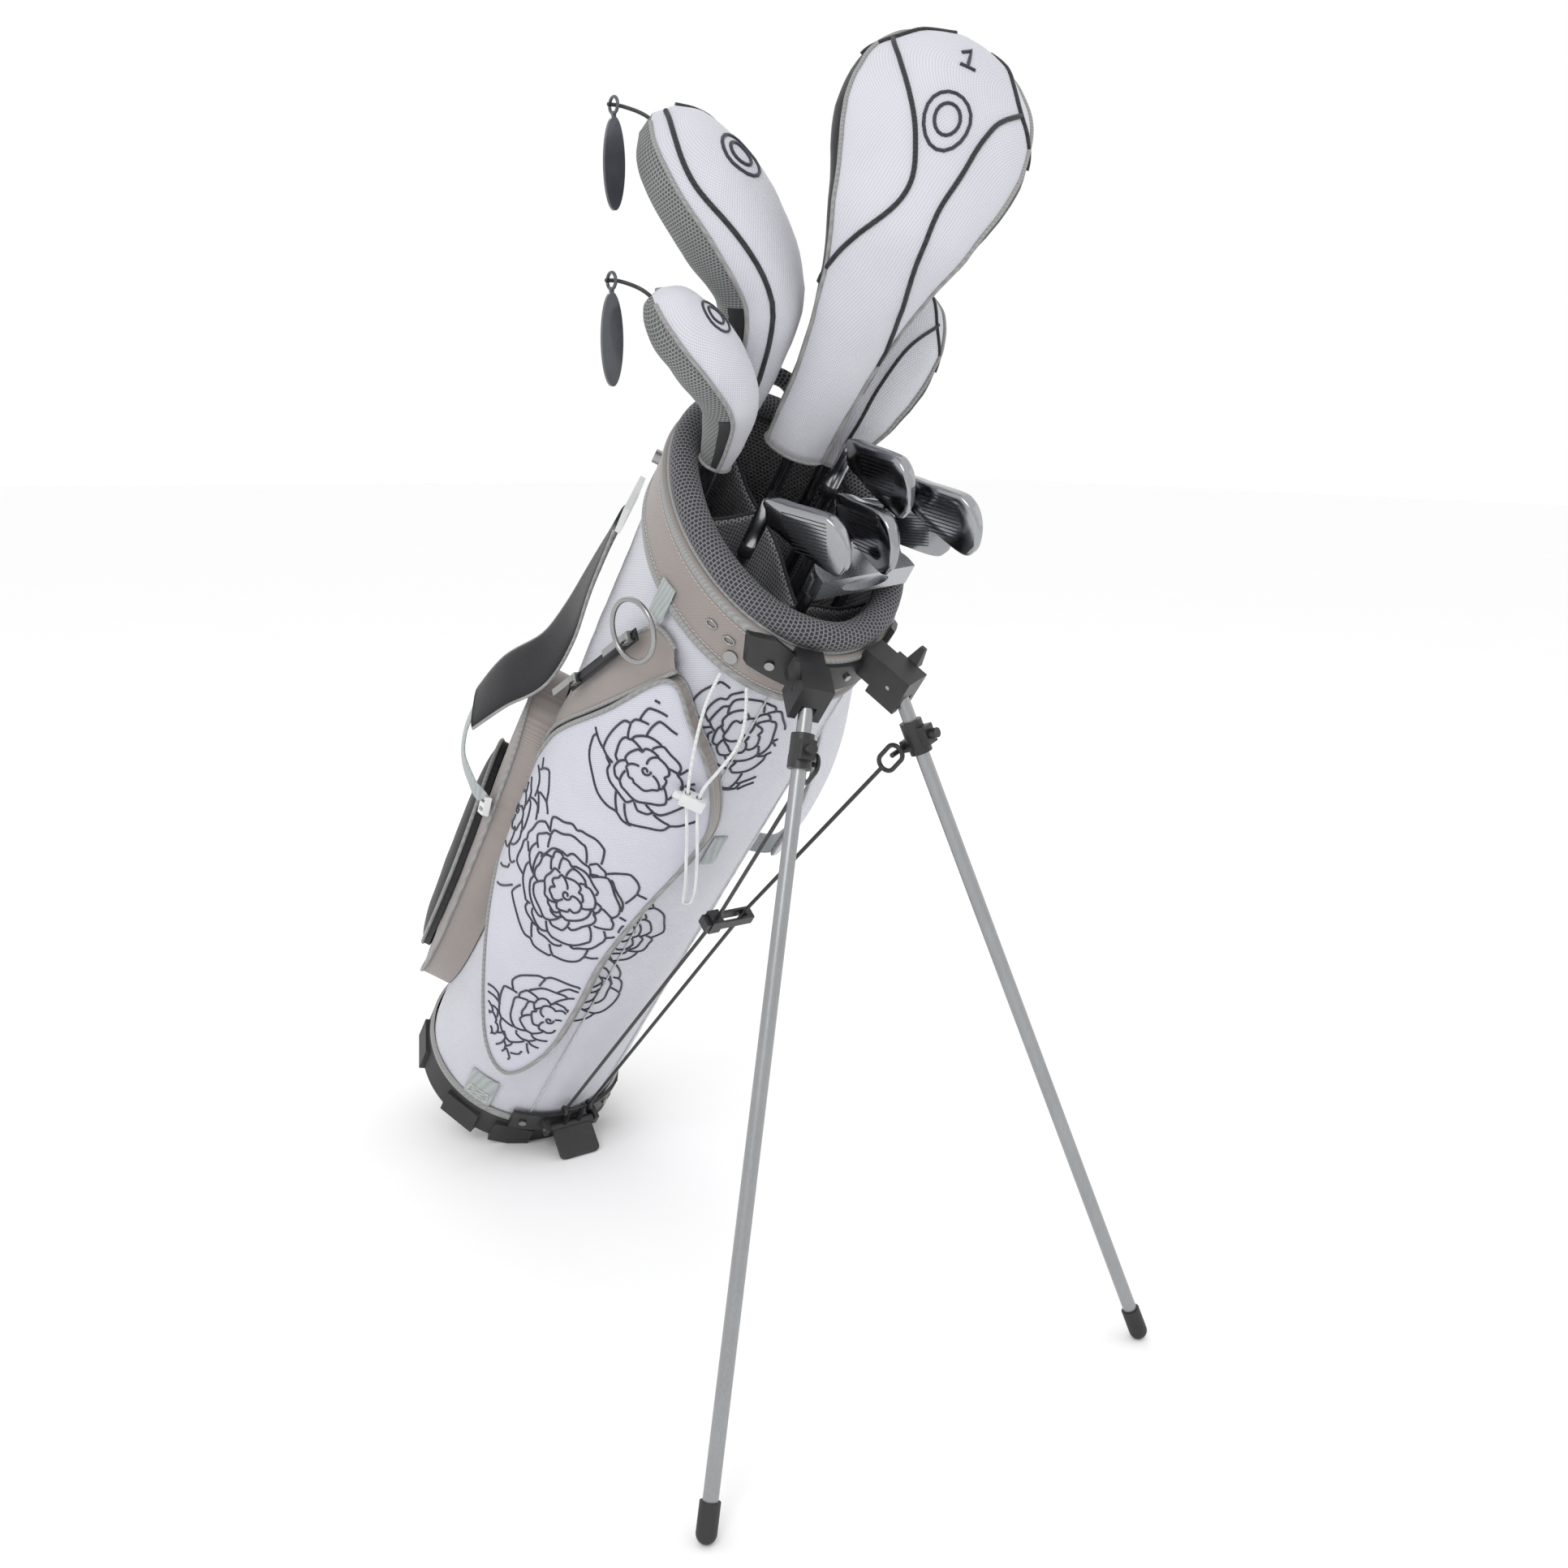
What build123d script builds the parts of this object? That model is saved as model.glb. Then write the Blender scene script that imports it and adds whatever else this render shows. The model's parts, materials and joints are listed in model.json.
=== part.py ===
from build123d import *
import math
import os

# Golf stand bag with ten clubs, in millimetres.
# Every piece is drawn in the bag's own upright frame: Z runs up the bag, the legs are on the -Y side,
# and the decorated pocket is on the -X side.  The whole set is then leaned forward onto its legs and
# moved so that the origin is the centre of the bounding box's bottom face.

# Bag tube
LEAN = 38.4
BAG_HEIGHT = 829.0
BASE_HALF_X, BASE_HALF_Y = 110.0, 107.0
RIM_HALF_X, RIM_HALF_Y = 103.0, 125.0
RIM_TILT = 13.4
WALL = 2.5
GAP = 0.3
COLLAR_HEIGHT = 55.0
COLLAR_SKIN = 3.0
CUFF_RADIUS = 12.5

# Stand
LEG_TOP = (45.0, -152.0, 789.0)
LEG_SPREAD = 187.0
LEG_LENGTH = 628.0
LEG_RADIUS = 6.0
FOOT_RADIUS = 8.0
CLAMP_DROP = 48.0
FOLDED_SLOPE = 0.03
ROD_RADIUS = 2.0
WIRE_RADIUS = 1.85
ROD_SPACING = 15.0
ROD_ARM = (3.0, 28.0)
ROD_KNEE_SHARE = 0.64
PEDAL_PIVOT = (0.0, -121.0, 50.0)
PEDAL_REACH = 38.0
PEDAL_DROOP = 13.0
EYE_RADIUS = 5.6
EYE_SLACK = 12.5

# Clubs
CLUB_FLOOR = 12.0
SHAFT_RADIUS = 5.0
SHAFT_BORE = 4.3
GRIP_LENGTH = 260.0
GRIP_RADII = (12.5, 9.5)
HOSEL_RADIUS = 6.5
WOOD_LIE = 60.0
IRON_LIE = 62.0

lean = math.radians(LEAN)
ground_offset = BASE_HALF_Y * math.sin(lean)


def to_bag(x, y, z):
    """A point given with the bag standing on its legs, in the bag's upright frame."""
    rise = z - ground_offset
    return Vector(x, y * math.cos(lean) + rise * math.sin(lean), rise * math.cos(lean) - y * math.sin(lean))


def half_axes(z, off=0.0):
    share = z / BAG_HEIGHT
    return (
        BASE_HALF_X + (RIM_HALF_X - BASE_HALF_X) * share + off,
        BASE_HALF_Y + (RIM_HALF_Y - BASE_HALF_Y) * share + off,
    )


def on_bag(angle, z, off=0.0):
    """A point of the bag's side: angle in degrees from +X, height, distance outside the fabric."""
    a, b = half_axes(z, off)
    return Vector(a * math.cos(math.radians(angle)), b * math.sin(math.radians(angle)), z)


def tube(z_low, z_high, off=0.0):
    rings = [Pos(0, 0, z) * Ellipse(*half_axes(z, off)) for z in (z_low, z_high)]
    return loft(rings, ruled=True)


def below_slant(z_middle):
    """Everything below the slanted plane that is z_middle high at the bag's axis."""
    block = Box(700, 700, 900, align=(Align.CENTER, Align.CENTER, Align.MAX))
    return Pos(0, 0, z_middle) * Rot(RIM_TILT, 0, 0) * block


def facing(angle, z=0.0):
    """A plane through the bag's axis whose normal points outward at the given angle."""
    outward = Vector(math.cos(math.radians(angle)), math.sin(math.radians(angle)), 0)
    return Plane(origin=(0, 0, z), x_dir=Vector(0, 0, 1).cross(outward), z_dir=outward)


def rod_between(start, end, radius):
    start, end = Vector(*start), Vector(*end)
    axis = end - start
    return Plane(origin=start, z_dir=axis) * Cylinder(radius, axis.length, align=(Align.CENTER, Align.CENTER, Align.MIN))


def leaf_panel(angle, outline, off_low, off_high, z_low, z_high, rounded=True):
    """A panel of the bag's side: a closed outline seen along one direction, between two skins."""
    edge = Spline(*outline, periodic=True) if rounded else Polyline(*outline, close=True)
    cutter = extrude(facing(angle) * make_face(edge), 260)
    return (tube(z_low, z_high, off_high) - tube(z_low - 5, z_high + 5, off_low)) & cutter


# ---------------------------------------------------------------- bag


def bag_body():
    skin = tube(4.3, 870, 0) - tube(0, 880, -WALL)
    return skin & below_slant(BAG_HEIGHT - 2)


def collar_band():
    skin = tube(600, 900, COLLAR_SKIN) - tube(590, 910, GAP)
    return (skin & below_slant(BAG_HEIGHT - 2)) - below_slant(BAG_HEIGHT - 2 - COLLAR_HEIGHT)


def cuff_rim():
    """The padded roll that caps the opening; it sits on the wall and the collar."""
    inset = 11.0
    tilt = math.radians(RIM_TILT)
    ring_plane = Plane(origin=(0, 0, BAG_HEIGHT + 6), x_dir=(1, 0, 0), z_dir=(0, -math.sin(tilt), math.cos(tilt)))
    half_x, half_y = RIM_HALF_X - inset, (RIM_HALF_Y - inset) / math.cos(tilt)
    path = ring_plane * Edge.make_ellipse(half_x, half_y)
    section = Plane(origin=path @ 0, z_dir=path % 0) * Circle(CUFF_RADIUS)
    roll = sweep(section, path=path)
    seat = (tube(700, 900, COLLAR_SKIN + GAP) - tube(690, 910, -WALL - GAP)) & below_slant(BAG_HEIGHT - 2 + GAP)
    return roll - seat


DIVIDER_ROWS = (27.0, -64.0)
DIVIDER_COLUMN = -3.0
DIVIDER_THICKNESS = 8.0


def club_dividers():
    """Two cross walls and one long wall on an inner ring, so the mouth has six cells."""
    inner = tube(640, 880, -WALL - GAP - 2.5)
    ring = tube(650, 870, -WALL - GAP) - tube(640, 880, -WALL - GAP - 2.5)
    walls = [Pos(0, y, 740) * Box(240, DIVIDER_THICKNESS, 220) for y in DIVIDER_ROWS]
    walls.append(Pos(DIVIDER_COLUMN, 0, 740) * Box(DIVIDER_THICKNESS, 260, 220))
    panels = (walls[0] + walls[1] + walls[2]) & (inner + ring)
    cage = (ring + panels) & below_slant(BAG_HEIGHT - 16)
    return cage - below_slant(BAG_HEIGHT - 126)


HANDLE_ANGLE = 78.0


def back_handle():
    """A padded grab handle standing up from the back of the collar."""
    arch = [(-46, 826), (-42, 872), (-22, 892), (22, 892), (42, 872), (46, 826)]
    window = [(-26, 846), (-24, 864), (24, 864), (26, 846)]
    plate = extrude(facing(HANDLE_ANGLE) * make_face(Polyline(*arch, close=True)), 260)
    hole = extrude(facing(HANDLE_ANGLE) * make_face(Polyline(*window, close=True)), 260)
    shell = tube(780, 930, COLLAR_SKIN + GAP + 9) - tube(770, 940, COLLAR_SKIN + GAP)
    foot = extrude(facing(HANDLE_ANGLE) * Pos(0, 814) * Rectangle(92, 36), 260)
    return shell & ((plate + foot) - hole)


def base_cup():
    cup = tube(0, 40, 3.2) - tube(4, 50, GAP)
    pads = [on_bag(angle, 14, -4) for angle in (-150, -118, -62, -30, 20, 90, 160)]
    for pad, angle in zip(pads, (-150, -118, -62, -30, 20, 90, 160)):
        block = Box(20, 44, 34)
        cup += Pos(pad.X, pad.Y, 12) * Rot(0, 0, angle) * block
    cup -= tube(4, 60, GAP)
    cup = cup & Pos(0, 0, 0) * Box(300, 300, 80)
    ground = Pos(0, 0, -ground_offset / math.cos(lean)) * Rot(-LEAN, 0, 0)
    return cup - ground * Box(500, 500, 200, align=(Align.CENTER, Align.CENTER, Align.MAX))


def webbing_tabs():
    """The ring's loop on the collar, the pull tab over the base and the small tongue by the pocket."""
    ring_tab = leaf_strip(RING_ANGLE, 748, 784, 9, COLLAR_SKIN + GAP, COLLAR_SKIN + 3.5)
    base_tab = leaf_strip(-146, 46, 92, 17, GAP + 0.2, 3.0)
    tongue = leaf_strip(-96, 520, 560, 7, GAP + 0.2, 2.5)
    return Compound([ring_tab, base_tab, tongue])


def leaf_strip(angle, z_low, z_high, half_width, off_low, off_high):
    shell = tube(z_low, z_high, off_high) - tube(z_low - 5, z_high + 5, off_low)
    return shell & extrude(facing(angle) * Pos(0, (z_low + z_high) / 2) * Rectangle(2 * half_width, 200), 260)


# ---------------------------------------------------------------- pockets and pads

POCKET_ANGLE = -154.0
POCKET_OUTLINE = [
    (12, 716), (46, 690), (78, 645), (95, 585), (92, 530), (79, 448), (69, 360), (68, 272), (62, 190),
    (38, 134), (5, 156), (-33, 237), (-70, 328), (-91, 400), (-92, 470), (-83, 531), (-68, 572), (-30, 640),
]
YOKE_OUTLINE = [
    (14, 728), (2, 740), (-14, 744), (-28, 736), (-50, 694), (-72, 640), (-84, 594), (-93, 540), (-97, 486),
    (-95, 484), (-90, 520), (-84, 548), (-67, 584), (-29, 652),
]
BACK_ANGLE = 134.0
BACK_OUTLINE = [
    (-48, 516), (0, 556), (44, 520), (58, 420), (60, 260), (48, 150), (14, 90), (-34, 112), (-58, 220), (-62, 400),
]
PAD_OUTLINE = [(-38, 380), (-6, 446), (28, 412), (43, 320), (38, 214), (20, 142), (-6, 118), (-28, 176), (-44, 284)]


def side_pocket():
    return leaf_panel(POCKET_ANGLE, POCKET_OUTLINE, GAP, 16, 110, 740)


def pocket_yoke():
    return leaf_panel(POCKET_ANGLE, YOKE_OUTLINE, GAP, 11, 470, 768, rounded=False)


def back_pocket():
    """The deep pocket behind the leaf pocket; its front wall stops a seam's width from the leaf."""
    bulk = leaf_panel(BACK_ANGLE, BACK_OUTLINE, GAP, 34, 70, 590)
    seam = [(w * 1.012, 425 + (z - 425) * 1.005) for w, z in POCKET_OUTLINE]
    leaf = extrude(facing(POCKET_ANGLE) * make_face(Spline(*seam, periodic=True)), 260)
    return bulk - leaf


def hip_pad():
    return leaf_panel(BACK_ANGLE, PAD_OUTLINE, 34.4, 52, 90, 470)


ZIP_ENDS = ((166.0, 612.0), (-171.0, 730.0))
ZIP_OFF = 14.4


def pocket_zipper():
    """The closed zipper on the yoke: a straight tape with its raised row of teeth."""
    frame, length = zip_plane()
    tape = frame * Pos(0, 0, 0.6) * Box(length, 11, 1.2, align=(Align.MIN, Align.CENTER, Align.CENTER))
    teeth = frame * Pos(0, 0, 2.0) * Box(length, 4, 1.6, align=(Align.MIN, Align.CENTER, Align.CENTER))
    return tape + teeth


def zip_plane():
    low, high = [on_bag(angle, z, ZIP_OFF) for angle, z in ZIP_ENDS]
    middle = (low + high) / 2
    outward = Vector(middle.X, middle.Y, 0).normalized()
    up = (high - low).normalized()
    return Plane(origin=low, x_dir=up, z_dir=outward - up * outward.dot(up)), (high - low).length


def zipper_pull(reach):
    """A slider straddling the teeth with a long flat pull hanging from it."""
    frame, length = zip_plane()
    slider = Pos(reach, 0, 6.1) * Box(11, 9, 3.0)
    for side in (-1, 1):
        slider += Pos(reach, side * 3.6, 3.3) * Box(11, 1.8, 3.4)
    bail = Pos(reach, 0, 8.4) * Box(6, 4, 2.2)
    pull = Pos(reach - 20, 0, 9.4) * Box(34, 6, 1.6)
    return frame * (slider + bail + pull)


# ---------------------------------------------------------------- straps


def ribbon(points, normals, width, thickness):
    """A strap: straight slabs from point to point, each in its own plane, joined by round knuckles."""
    solid = None
    for start, end, normal in zip(points, points[1:], normals):
        start, end, normal = Vector(*start), Vector(*end), Vector(*normal)
        along = end - start
        across = along.cross(normal).normalized()
        plane = Plane(origin=start, x_dir=along, z_dir=across.cross(along.normalized()))
        slab = plane * Box(along.length, width, thickness, align=(Align.MIN, Align.CENTER, Align.CENTER))
        slab += plane * Rot(90, 0, 0) * Cylinder(thickness / 2, width)
        solid = slab if solid is None else solid + slab
    return solid


def radial(angle, off, z):
    point = on_bag(angle, z, off)
    return (point.X, point.Y, point.Z)


def strap_near():
    """The near shoulder strap: webbing from the collar, a padded part and the return webbing loop."""
    pad = [radial(136, 12, 748), radial(138, 14, 690), radial(141, 17, 634), (-113, 88, 592), (-132, 104, 548),
           (-146, 114, 500)]
    body = ribbon(pad, [(-0.75, 0.66, 0)] * 5, 44, 7)
    loop = [(-148, 116, 496), (-154, 102, 456), (-138, 64, 426)]
    return body + ribbon(loop, [(-0.8, 0.5, 0.3), (-0.8, 0.5, 0.3)], 22, 3)


def strap_far():
    """The far shoulder strap: webbing from the collar and a wide pad hanging clear of the bag's other side."""
    webbing = ribbon([(96, 82, 752), (122, 38, 712), (146, 0, 664), (150, -12, 640)], [(1, 0.4, 0)] * 3, 30, 3)
    pad = [(148, -10, 646), (156, -22, 600), (166, -34, 540), (170, -40, 480), (166, -42, 425)]
    return webbing + ribbon(pad, [(0.55, -0.83, 0)] * 4, 70, 10)


def strap_buckles():
    """The flat buckle on the collar and the ladder lock at the end of the near strap's webbing."""
    upper = Plane(origin=on_bag(136, 768, 12), x_dir=(0, 0, 1), z_dir=(-0.75, 0.66, 0))
    frame = upper * (Box(26, 54, 5) - Pos(-3, 0, 0) * Box(9, 47, 10))
    lower = Plane(origin=(-136, 59, 419), x_dir=(0.3, 0.6, 0.74), z_dir=(-0.9, 0.4, 0))
    lock = lower * (Box(18, 32, 6) - Pos(-4, 0, 0) * Box(4, 25, 9) - Pos(4, 0, 0) * Box(3, 25, 9))
    return Compound([frame, lock])


RING_RADIUS, RING_WIRE = 26.0, 2.2
RING_ANGLE, RING_TOP = -169.0, 768.0


def ring_plane():
    hang = on_bag(RING_ANGLE, RING_TOP - RING_RADIUS, COLLAR_SKIN + 25)
    outward = (math.cos(math.radians(RING_ANGLE)), math.sin(math.radians(RING_ANGLE)), 0)
    return Plane(origin=hang, x_dir=(0, 0, 1), z_dir=outward)


def o_ring():
    return ring_plane() * Torus(RING_RADIUS, RING_WIRE)


# ---------------------------------------------------------------- stand


def leg_directions(side):
    """Unit vectors of one leg opened and folded, and the hinge axis that turns the first to the second."""
    top = Vector(side * LEG_TOP[0], LEG_TOP[1], LEG_TOP[2])
    top_height = top.Y * math.sin(lean) + top.Z * math.cos(lean) + ground_offset
    top_forward = top.Y * math.cos(lean) - top.Z * math.sin(lean)
    drop = top_height - FOOT_RADIUS
    ahead = math.sqrt(LEG_LENGTH ** 2 - LEG_SPREAD ** 2 - drop ** 2)
    foot = to_bag(top.X + side * LEG_SPREAD, top_forward - ahead, FOOT_RADIUS)
    opened = (foot - top).normalized()
    folded = Vector(0, FOLDED_SLOPE, -1).normalized()
    return top, opened, folded, opened.cross(folded).normalized()


def leg_frame(side):
    top, opened, folded, axis = leg_directions(side)
    return Plane(origin=top, x_dir=opened, z_dir=axis)


def fold_angle(side):
    top, opened, folded, axis = leg_directions(side)
    return math.degrees(math.acos(opened.dot(folded)))


def along_leg(start, length, radius):
    return Pos(start, 0, 0) * Rot(0, 90, 0) * Cylinder(radius, length, align=(Align.CENTER, Align.CENTER, Align.MIN))


def leg_tube(side):
    tube_solid = along_leg(-8, LEG_LENGTH - 4, LEG_RADIUS)
    tube_solid -= along_leg(16, LEG_LENGTH - 44, LEG_RADIUS - 1.1)
    tube_solid -= Cylinder(2.05, 30)
    return leg_frame(side) * tube_solid


def leg_foot(side):
    boot = along_leg(LEG_LENGTH - 22, 22, FOOT_RADIUS) + Pos(LEG_LENGTH, 0, 0) * Sphere(FOOT_RADIUS)
    boot -= along_leg(LEG_LENGTH - 30, 18.2, LEG_RADIUS + 0.02)
    return leg_frame(side) * boot


def stub_offset(side):
    """Where the linkage stub sits in the leg's frame: beside the leg, on the bag's side of it."""
    return (CLAMP_DROP + 6, 13.0)


def leg_clamp(side):
    """The split clamp on the leg, its pinch screw, and the stub that carries the linkage rod."""
    x, y = stub_offset(side)
    block = along_leg(CLAMP_DROP - 14, 28, 9.5)
    block += Pos(CLAMP_DROP, -11, 0) * Box(16, 9, 12)
    block += Pos(x, y - 3, 0) * Box(10, 12, 8)
    block += Pos(x, y, -side * 11) * Cylinder(2.2, 22)
    block -= along_leg(CLAMP_DROP - 20, 40, LEG_RADIUS + 0.02)
    screw = Pos(CLAMP_DROP, -19.1, 0) * Rot(90, 0, 0) * Cylinder(4.2, 7)
    return leg_frame(side) * Compound([block, screw])


SLOT_HALF = 6.6


def stand_bracket():
    """The head bracket: a curved plate on the collar with a forked socket for each leg."""
    plate = tube(700, 860, COLLAR_SKIN + GAP + 5) - tube(690, 870, COLLAR_SKIN + GAP)
    outline = [(-76, 800), (-60, 806), (-30, 792), (30, 792), (60, 806), (76, 800), (70, 772), (34, 764),
               (-34, 764), (-70, 772)]
    body = plate & extrude(facing(-90) * make_face(Polyline(*outline, close=True)), 260)
    for side in (-1, 1):
        body += socket_block(side)
    body -= tube(690, 870, COLLAR_SKIN + GAP)
    for side in (-1, 1):
        body -= socket_slot(side)
    for head in bracket_rivets():
        body -= head
    return body


def socket_block(side):
    top, opened, folded, axis = leg_directions(side)
    shell = Plane(origin=top, x_dir=axis, z_dir=(0, 0, 1)) * (Box(27, 30, 34) + Pos(0, 22, 2) * Box(24, 40, 26))
    horn = Plane(origin=top + Vector(side * 16, 8, 14), x_dir=axis, z_dir=(0, 0, 1))
    return shell + horn * loft([Pos(0, 0, 0) * Rectangle(10, 12), Pos(side * 4, 0, 15) * Rectangle(4, 5)])


def socket_slot(side):
    """The swing space of one leg plus its pin hole."""
    sweep_angle = fold_angle(side)
    reach = 80.0
    rays = [math.radians(a) for a in (0, sweep_angle / 2, sweep_angle)]
    width = LEG_RADIUS + 0.5
    fan = Pos(0, 0) * Circle(10.0)
    for ray in rays:
        fan += Rot(0, 0, math.degrees(ray)) * Pos(reach / 2, 0) * Rectangle(reach, 2 * width)
    points = [(0, 0)] + [(reach * math.cos(a), reach * math.sin(a)) for a in rays]
    fan += make_face(Polyline(*points, close=True))
    slot = extrude(fan, SLOT_HALF, both=True) + Cylinder(2.05, 60)
    return leg_frame(side) * slot


def hinge_pins():
    """One pin through each socket and one long pin for the pedal."""
    pins = [leg_frame(side) * Cylinder(2.0, 26) for side in (-1, 1)]
    pins.append(Pos(*PEDAL_PIVOT) * Rot(0, 90, 0) * Cylinder(2.0, 66))
    return Compound(pins)


def base_bracket():
    """The lower bracket riveted to the base, with two lugs that hold the pedal's pin."""
    plate = (tube(30, 64, 7.4) - tube(20, 70, 3.6)) & extrude(facing(-90) * Pos(0, 47) * Rectangle(124, 30), 260)
    for side in (-1, 1):
        lug = Pos(side * 30, PEDAL_PIVOT[1] + 7, PEDAL_PIVOT[2]) * Box(5, 24, 14)
        plate += lug
    plate -= tube(20, 70, 3.6)
    return plate - Pos(*PEDAL_PIVOT) * Rot(0, 90, 0) * Cylinder(2.05, 80)


def pedal_plate():
    """The treadle: a boss on the pin, the plate that presses on the ground, and two arms for the rods' pin."""
    boss = Rot(0, 90, 0) * Cylinder(5, 54)
    plate = Pos(0, -PEDAL_REACH / 2, 0) * Box(48, PEDAL_REACH, 4)
    plate = fillet(plate.edges().filter_by(Axis.Z).group_by(Axis.Y)[0], 6)
    body = boss + Rot(PEDAL_DROOP, 0, 0) * plate
    for side in (-1, 1):
        arm = rod_between((side * (ROD_SPACING - 6), 0, 0), (side * (ROD_SPACING - 6), *ROD_ARM), 3.5)
        body += arm & Box(2 * ROD_SPACING - 9, 100, 100)
    body += Pos(0, *ROD_ARM) * Rot(0, 90, 0) * Cylinder(1.8, 2 * ROD_SPACING + 6)
    body -= Rot(0, 90, 0) * Cylinder(2.05, 80)
    return Pos(*PEDAL_PIVOT) * body


def rod_low(side):
    return Vector(side * ROD_SPACING, PEDAL_PIVOT[1] + ROD_ARM[0], PEDAL_PIVOT[2] + ROD_ARM[1])


def rod_knee(side):
    """Where the wire bends outward, just above the spacer."""
    low, high = rod_low(side), rod_high(side)
    return Vector(low.X, low.Y + (high.Y - low.Y) * ROD_KNEE_SHARE, low.Z + (high.Z - low.Z) * ROD_KNEE_SHARE)


def rod_high(side):
    x, y = stub_offset(side)
    frame = leg_frame(side)
    return frame.from_local_coords(Vector(x, y, -side * 18))


def long_eye():
    """A long loop of wire round the clamp's stub: centred on the stub at one end, EYE_SLACK long."""
    reach = EYE_RADIUS + ROD_RADIUS
    ring = Torus(reach, ROD_RADIUS)
    half = Box(4 * reach, 4 * reach, 4 * reach, align=(Align.MAX, Align.CENTER, Align.CENTER))
    loop = (ring & half) + Pos(EYE_SLACK, 0, 0) * (ring - half)
    for edge in (-reach, reach):
        loop += rod_between((0, edge, 0), (EYE_SLACK, edge, 0), ROD_RADIUS)
    return loop


def linkage_rod(side):
    """A bent wire with an eye on the pedal's cross pin and a wide eye round the clamp's stub."""
    top, opened, folded, axis = leg_directions(side)
    low, high = rod_low(side), rod_high(side)
    knee = rod_knee(side)
    down = (knee - high).normalized()
    eye_low = Plane(origin=low, x_dir=(0, 0, 1), z_dir=(1, 0, 0)) * Torus(2.0 + ROD_RADIUS, ROD_RADIUS)
    flat = (down - axis * down.dot(axis)).normalized()
    eye_high = Plane(origin=high, x_dir=flat, z_dir=axis) * long_eye()
    up = (knee - low).normalized()
    wire = rod_between(low + up * (1.2 + ROD_RADIUS), knee, WIRE_RADIUS)
    wire += Pos(*knee) * Sphere(WIRE_RADIUS)
    wire += rod_between(knee, high + flat * (EYE_SLACK + EYE_RADIUS + 0.8 * ROD_RADIUS), WIRE_RADIUS)
    return wire + eye_low + eye_high


def bridge_clip():
    """The spacer under the knees: clipped to the left rod, with a long slot for the right one."""
    knee, low = rod_knee(-1), rod_low(-1)
    drop = 14.0
    middle = (0, knee.Y + (knee.Y - low.Y) / (knee.Z - low.Z) * -drop, knee.Z - drop)
    bar = Pos(-1, 0, 0) * Box(2 * ROD_SPACING + 22, 13, 10)
    bar += Pos(-ROD_SPACING - 1, 0, 0) * Box(12, 15, 16)
    slot = Pos(ROD_SPACING - 11, 0, 0) * Box(29, 8, 30)
    return Pos(*middle) * (bar - slot) - linkage_rod(-1)


def rivets_and_snaps():
    """Rivet heads on both brackets, the collar's snap and its rear stud."""
    studs = []
    studs += bracket_rivets()
    studs.append(rivet(-135.5, 768, COLLAR_SKIN + 0.1, 6, 2.4))
    studs.append(rivet(131, 816, COLLAR_SKIN + 0.1, 6, 6))
    for angle in (-116, -64):
        studs.append(rivet(angle, 47, 8.0, 4, 2.0))
    return Compound(studs)


def bracket_rivets():
    places = ((-121, 781, 4), (-95.5, 779, 3), (-84.5, 779, 3), (-59, 781, 4))
    return [rivet(angle, z, COLLAR_SKIN + GAP + 5.2, radius, 2.2) for angle, z, radius in places]


def rivet(angle, z, off, radius, height):
    at = on_bag(angle, z, off)
    a, b = half_axes(z)
    slope = (math.cos(math.radians(angle)) / a, math.sin(math.radians(angle)) / b, 0)
    head = Cylinder(radius, height, align=(Align.CENTER, Align.CENTER, Align.MIN))
    return Plane(origin=at, z_dir=slope) * head


# ---------------------------------------------------------------- drawstring

CORD_RADIUS = 1.5
CORD_TURN = 0.45
CORD_ROUTE = [
    (-77, -88, 748), (-84, -94, 728), (-86, -103, 700), (-83, -110, 668), (-78, -116, 638), (-72, -121, 612),
    (-62, -127, 582), (-52, -129, 552), (-43, -133, 524), (-37, -135, 503), (-34, -136, 488), (-26, -138, 488),
    (-28, -138, 503), (-34, -137, 524), (-43, -134, 552), (-54, -132, 582), (-64, -127, 612), (-70, -123, 638),
    (-66, -127, 668), (-59, -128, 702), (-60, -119, 730), (-61, -106, 748),
]


def corner_radii(route):
    points = [Vector(*p) for p in route]
    radii = []
    for before, here, after in zip(points, points[1:], points[2:]):
        first, second = here - before, after - here
        turn = math.radians(first.get_angle(second))
        radii.append(CORD_TURN * min(first.length, second.length) / math.tan(turn / 2))
    return radii


def drawstring():
    """The elastic cord: out of the collar, down to the bend in its tail and back up into the collar."""
    radii = corner_radii(CORD_ROUTE)
    path = FilletPolyline(*CORD_ROUTE, radius=radii)
    cord = sweep(Plane(origin=path @ 0, z_dir=path % 0) * Circle(CORD_RADIUS), path=path)
    print("drawstring radii", [round(r, 1) for r in radii])
    print("drawstring length", round(path.length, 1), "volume ratio",
          round(cord.volume / (math.pi * CORD_RADIUS ** 2 * path.length), 4))
    return cord


def cord_toggle():
    """The barrel lock that grips both strands, with its spring button."""
    strands = [(Vector(*CORD_ROUTE[4]), Vector(*CORD_ROUTE[5])), (Vector(*CORD_ROUTE[17]), Vector(*CORD_ROUTE[16]))]
    centre = (strands[0][0] + strands[0][1] + strands[1][0] + strands[1][1]) / 4
    across = strands[1][0] - strands[0][0]
    down = strands[0][1] - strands[0][0]
    frame = Plane(origin=centre, x_dir=across, z_dir=down - across * (down.dot(across) / across.dot(across)))
    body = frame * (Box(22, 9, 13) + Pos(-14, 0, 0) * Rot(0, 90, 0) * Cylinder(4.0, 8))
    for high, low in strands:
        body -= rod_between(high * 2 - low, low * 2 - high, CORD_RADIUS + 1.1)
    return body


# ---------------------------------------------------------------- clubs

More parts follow.
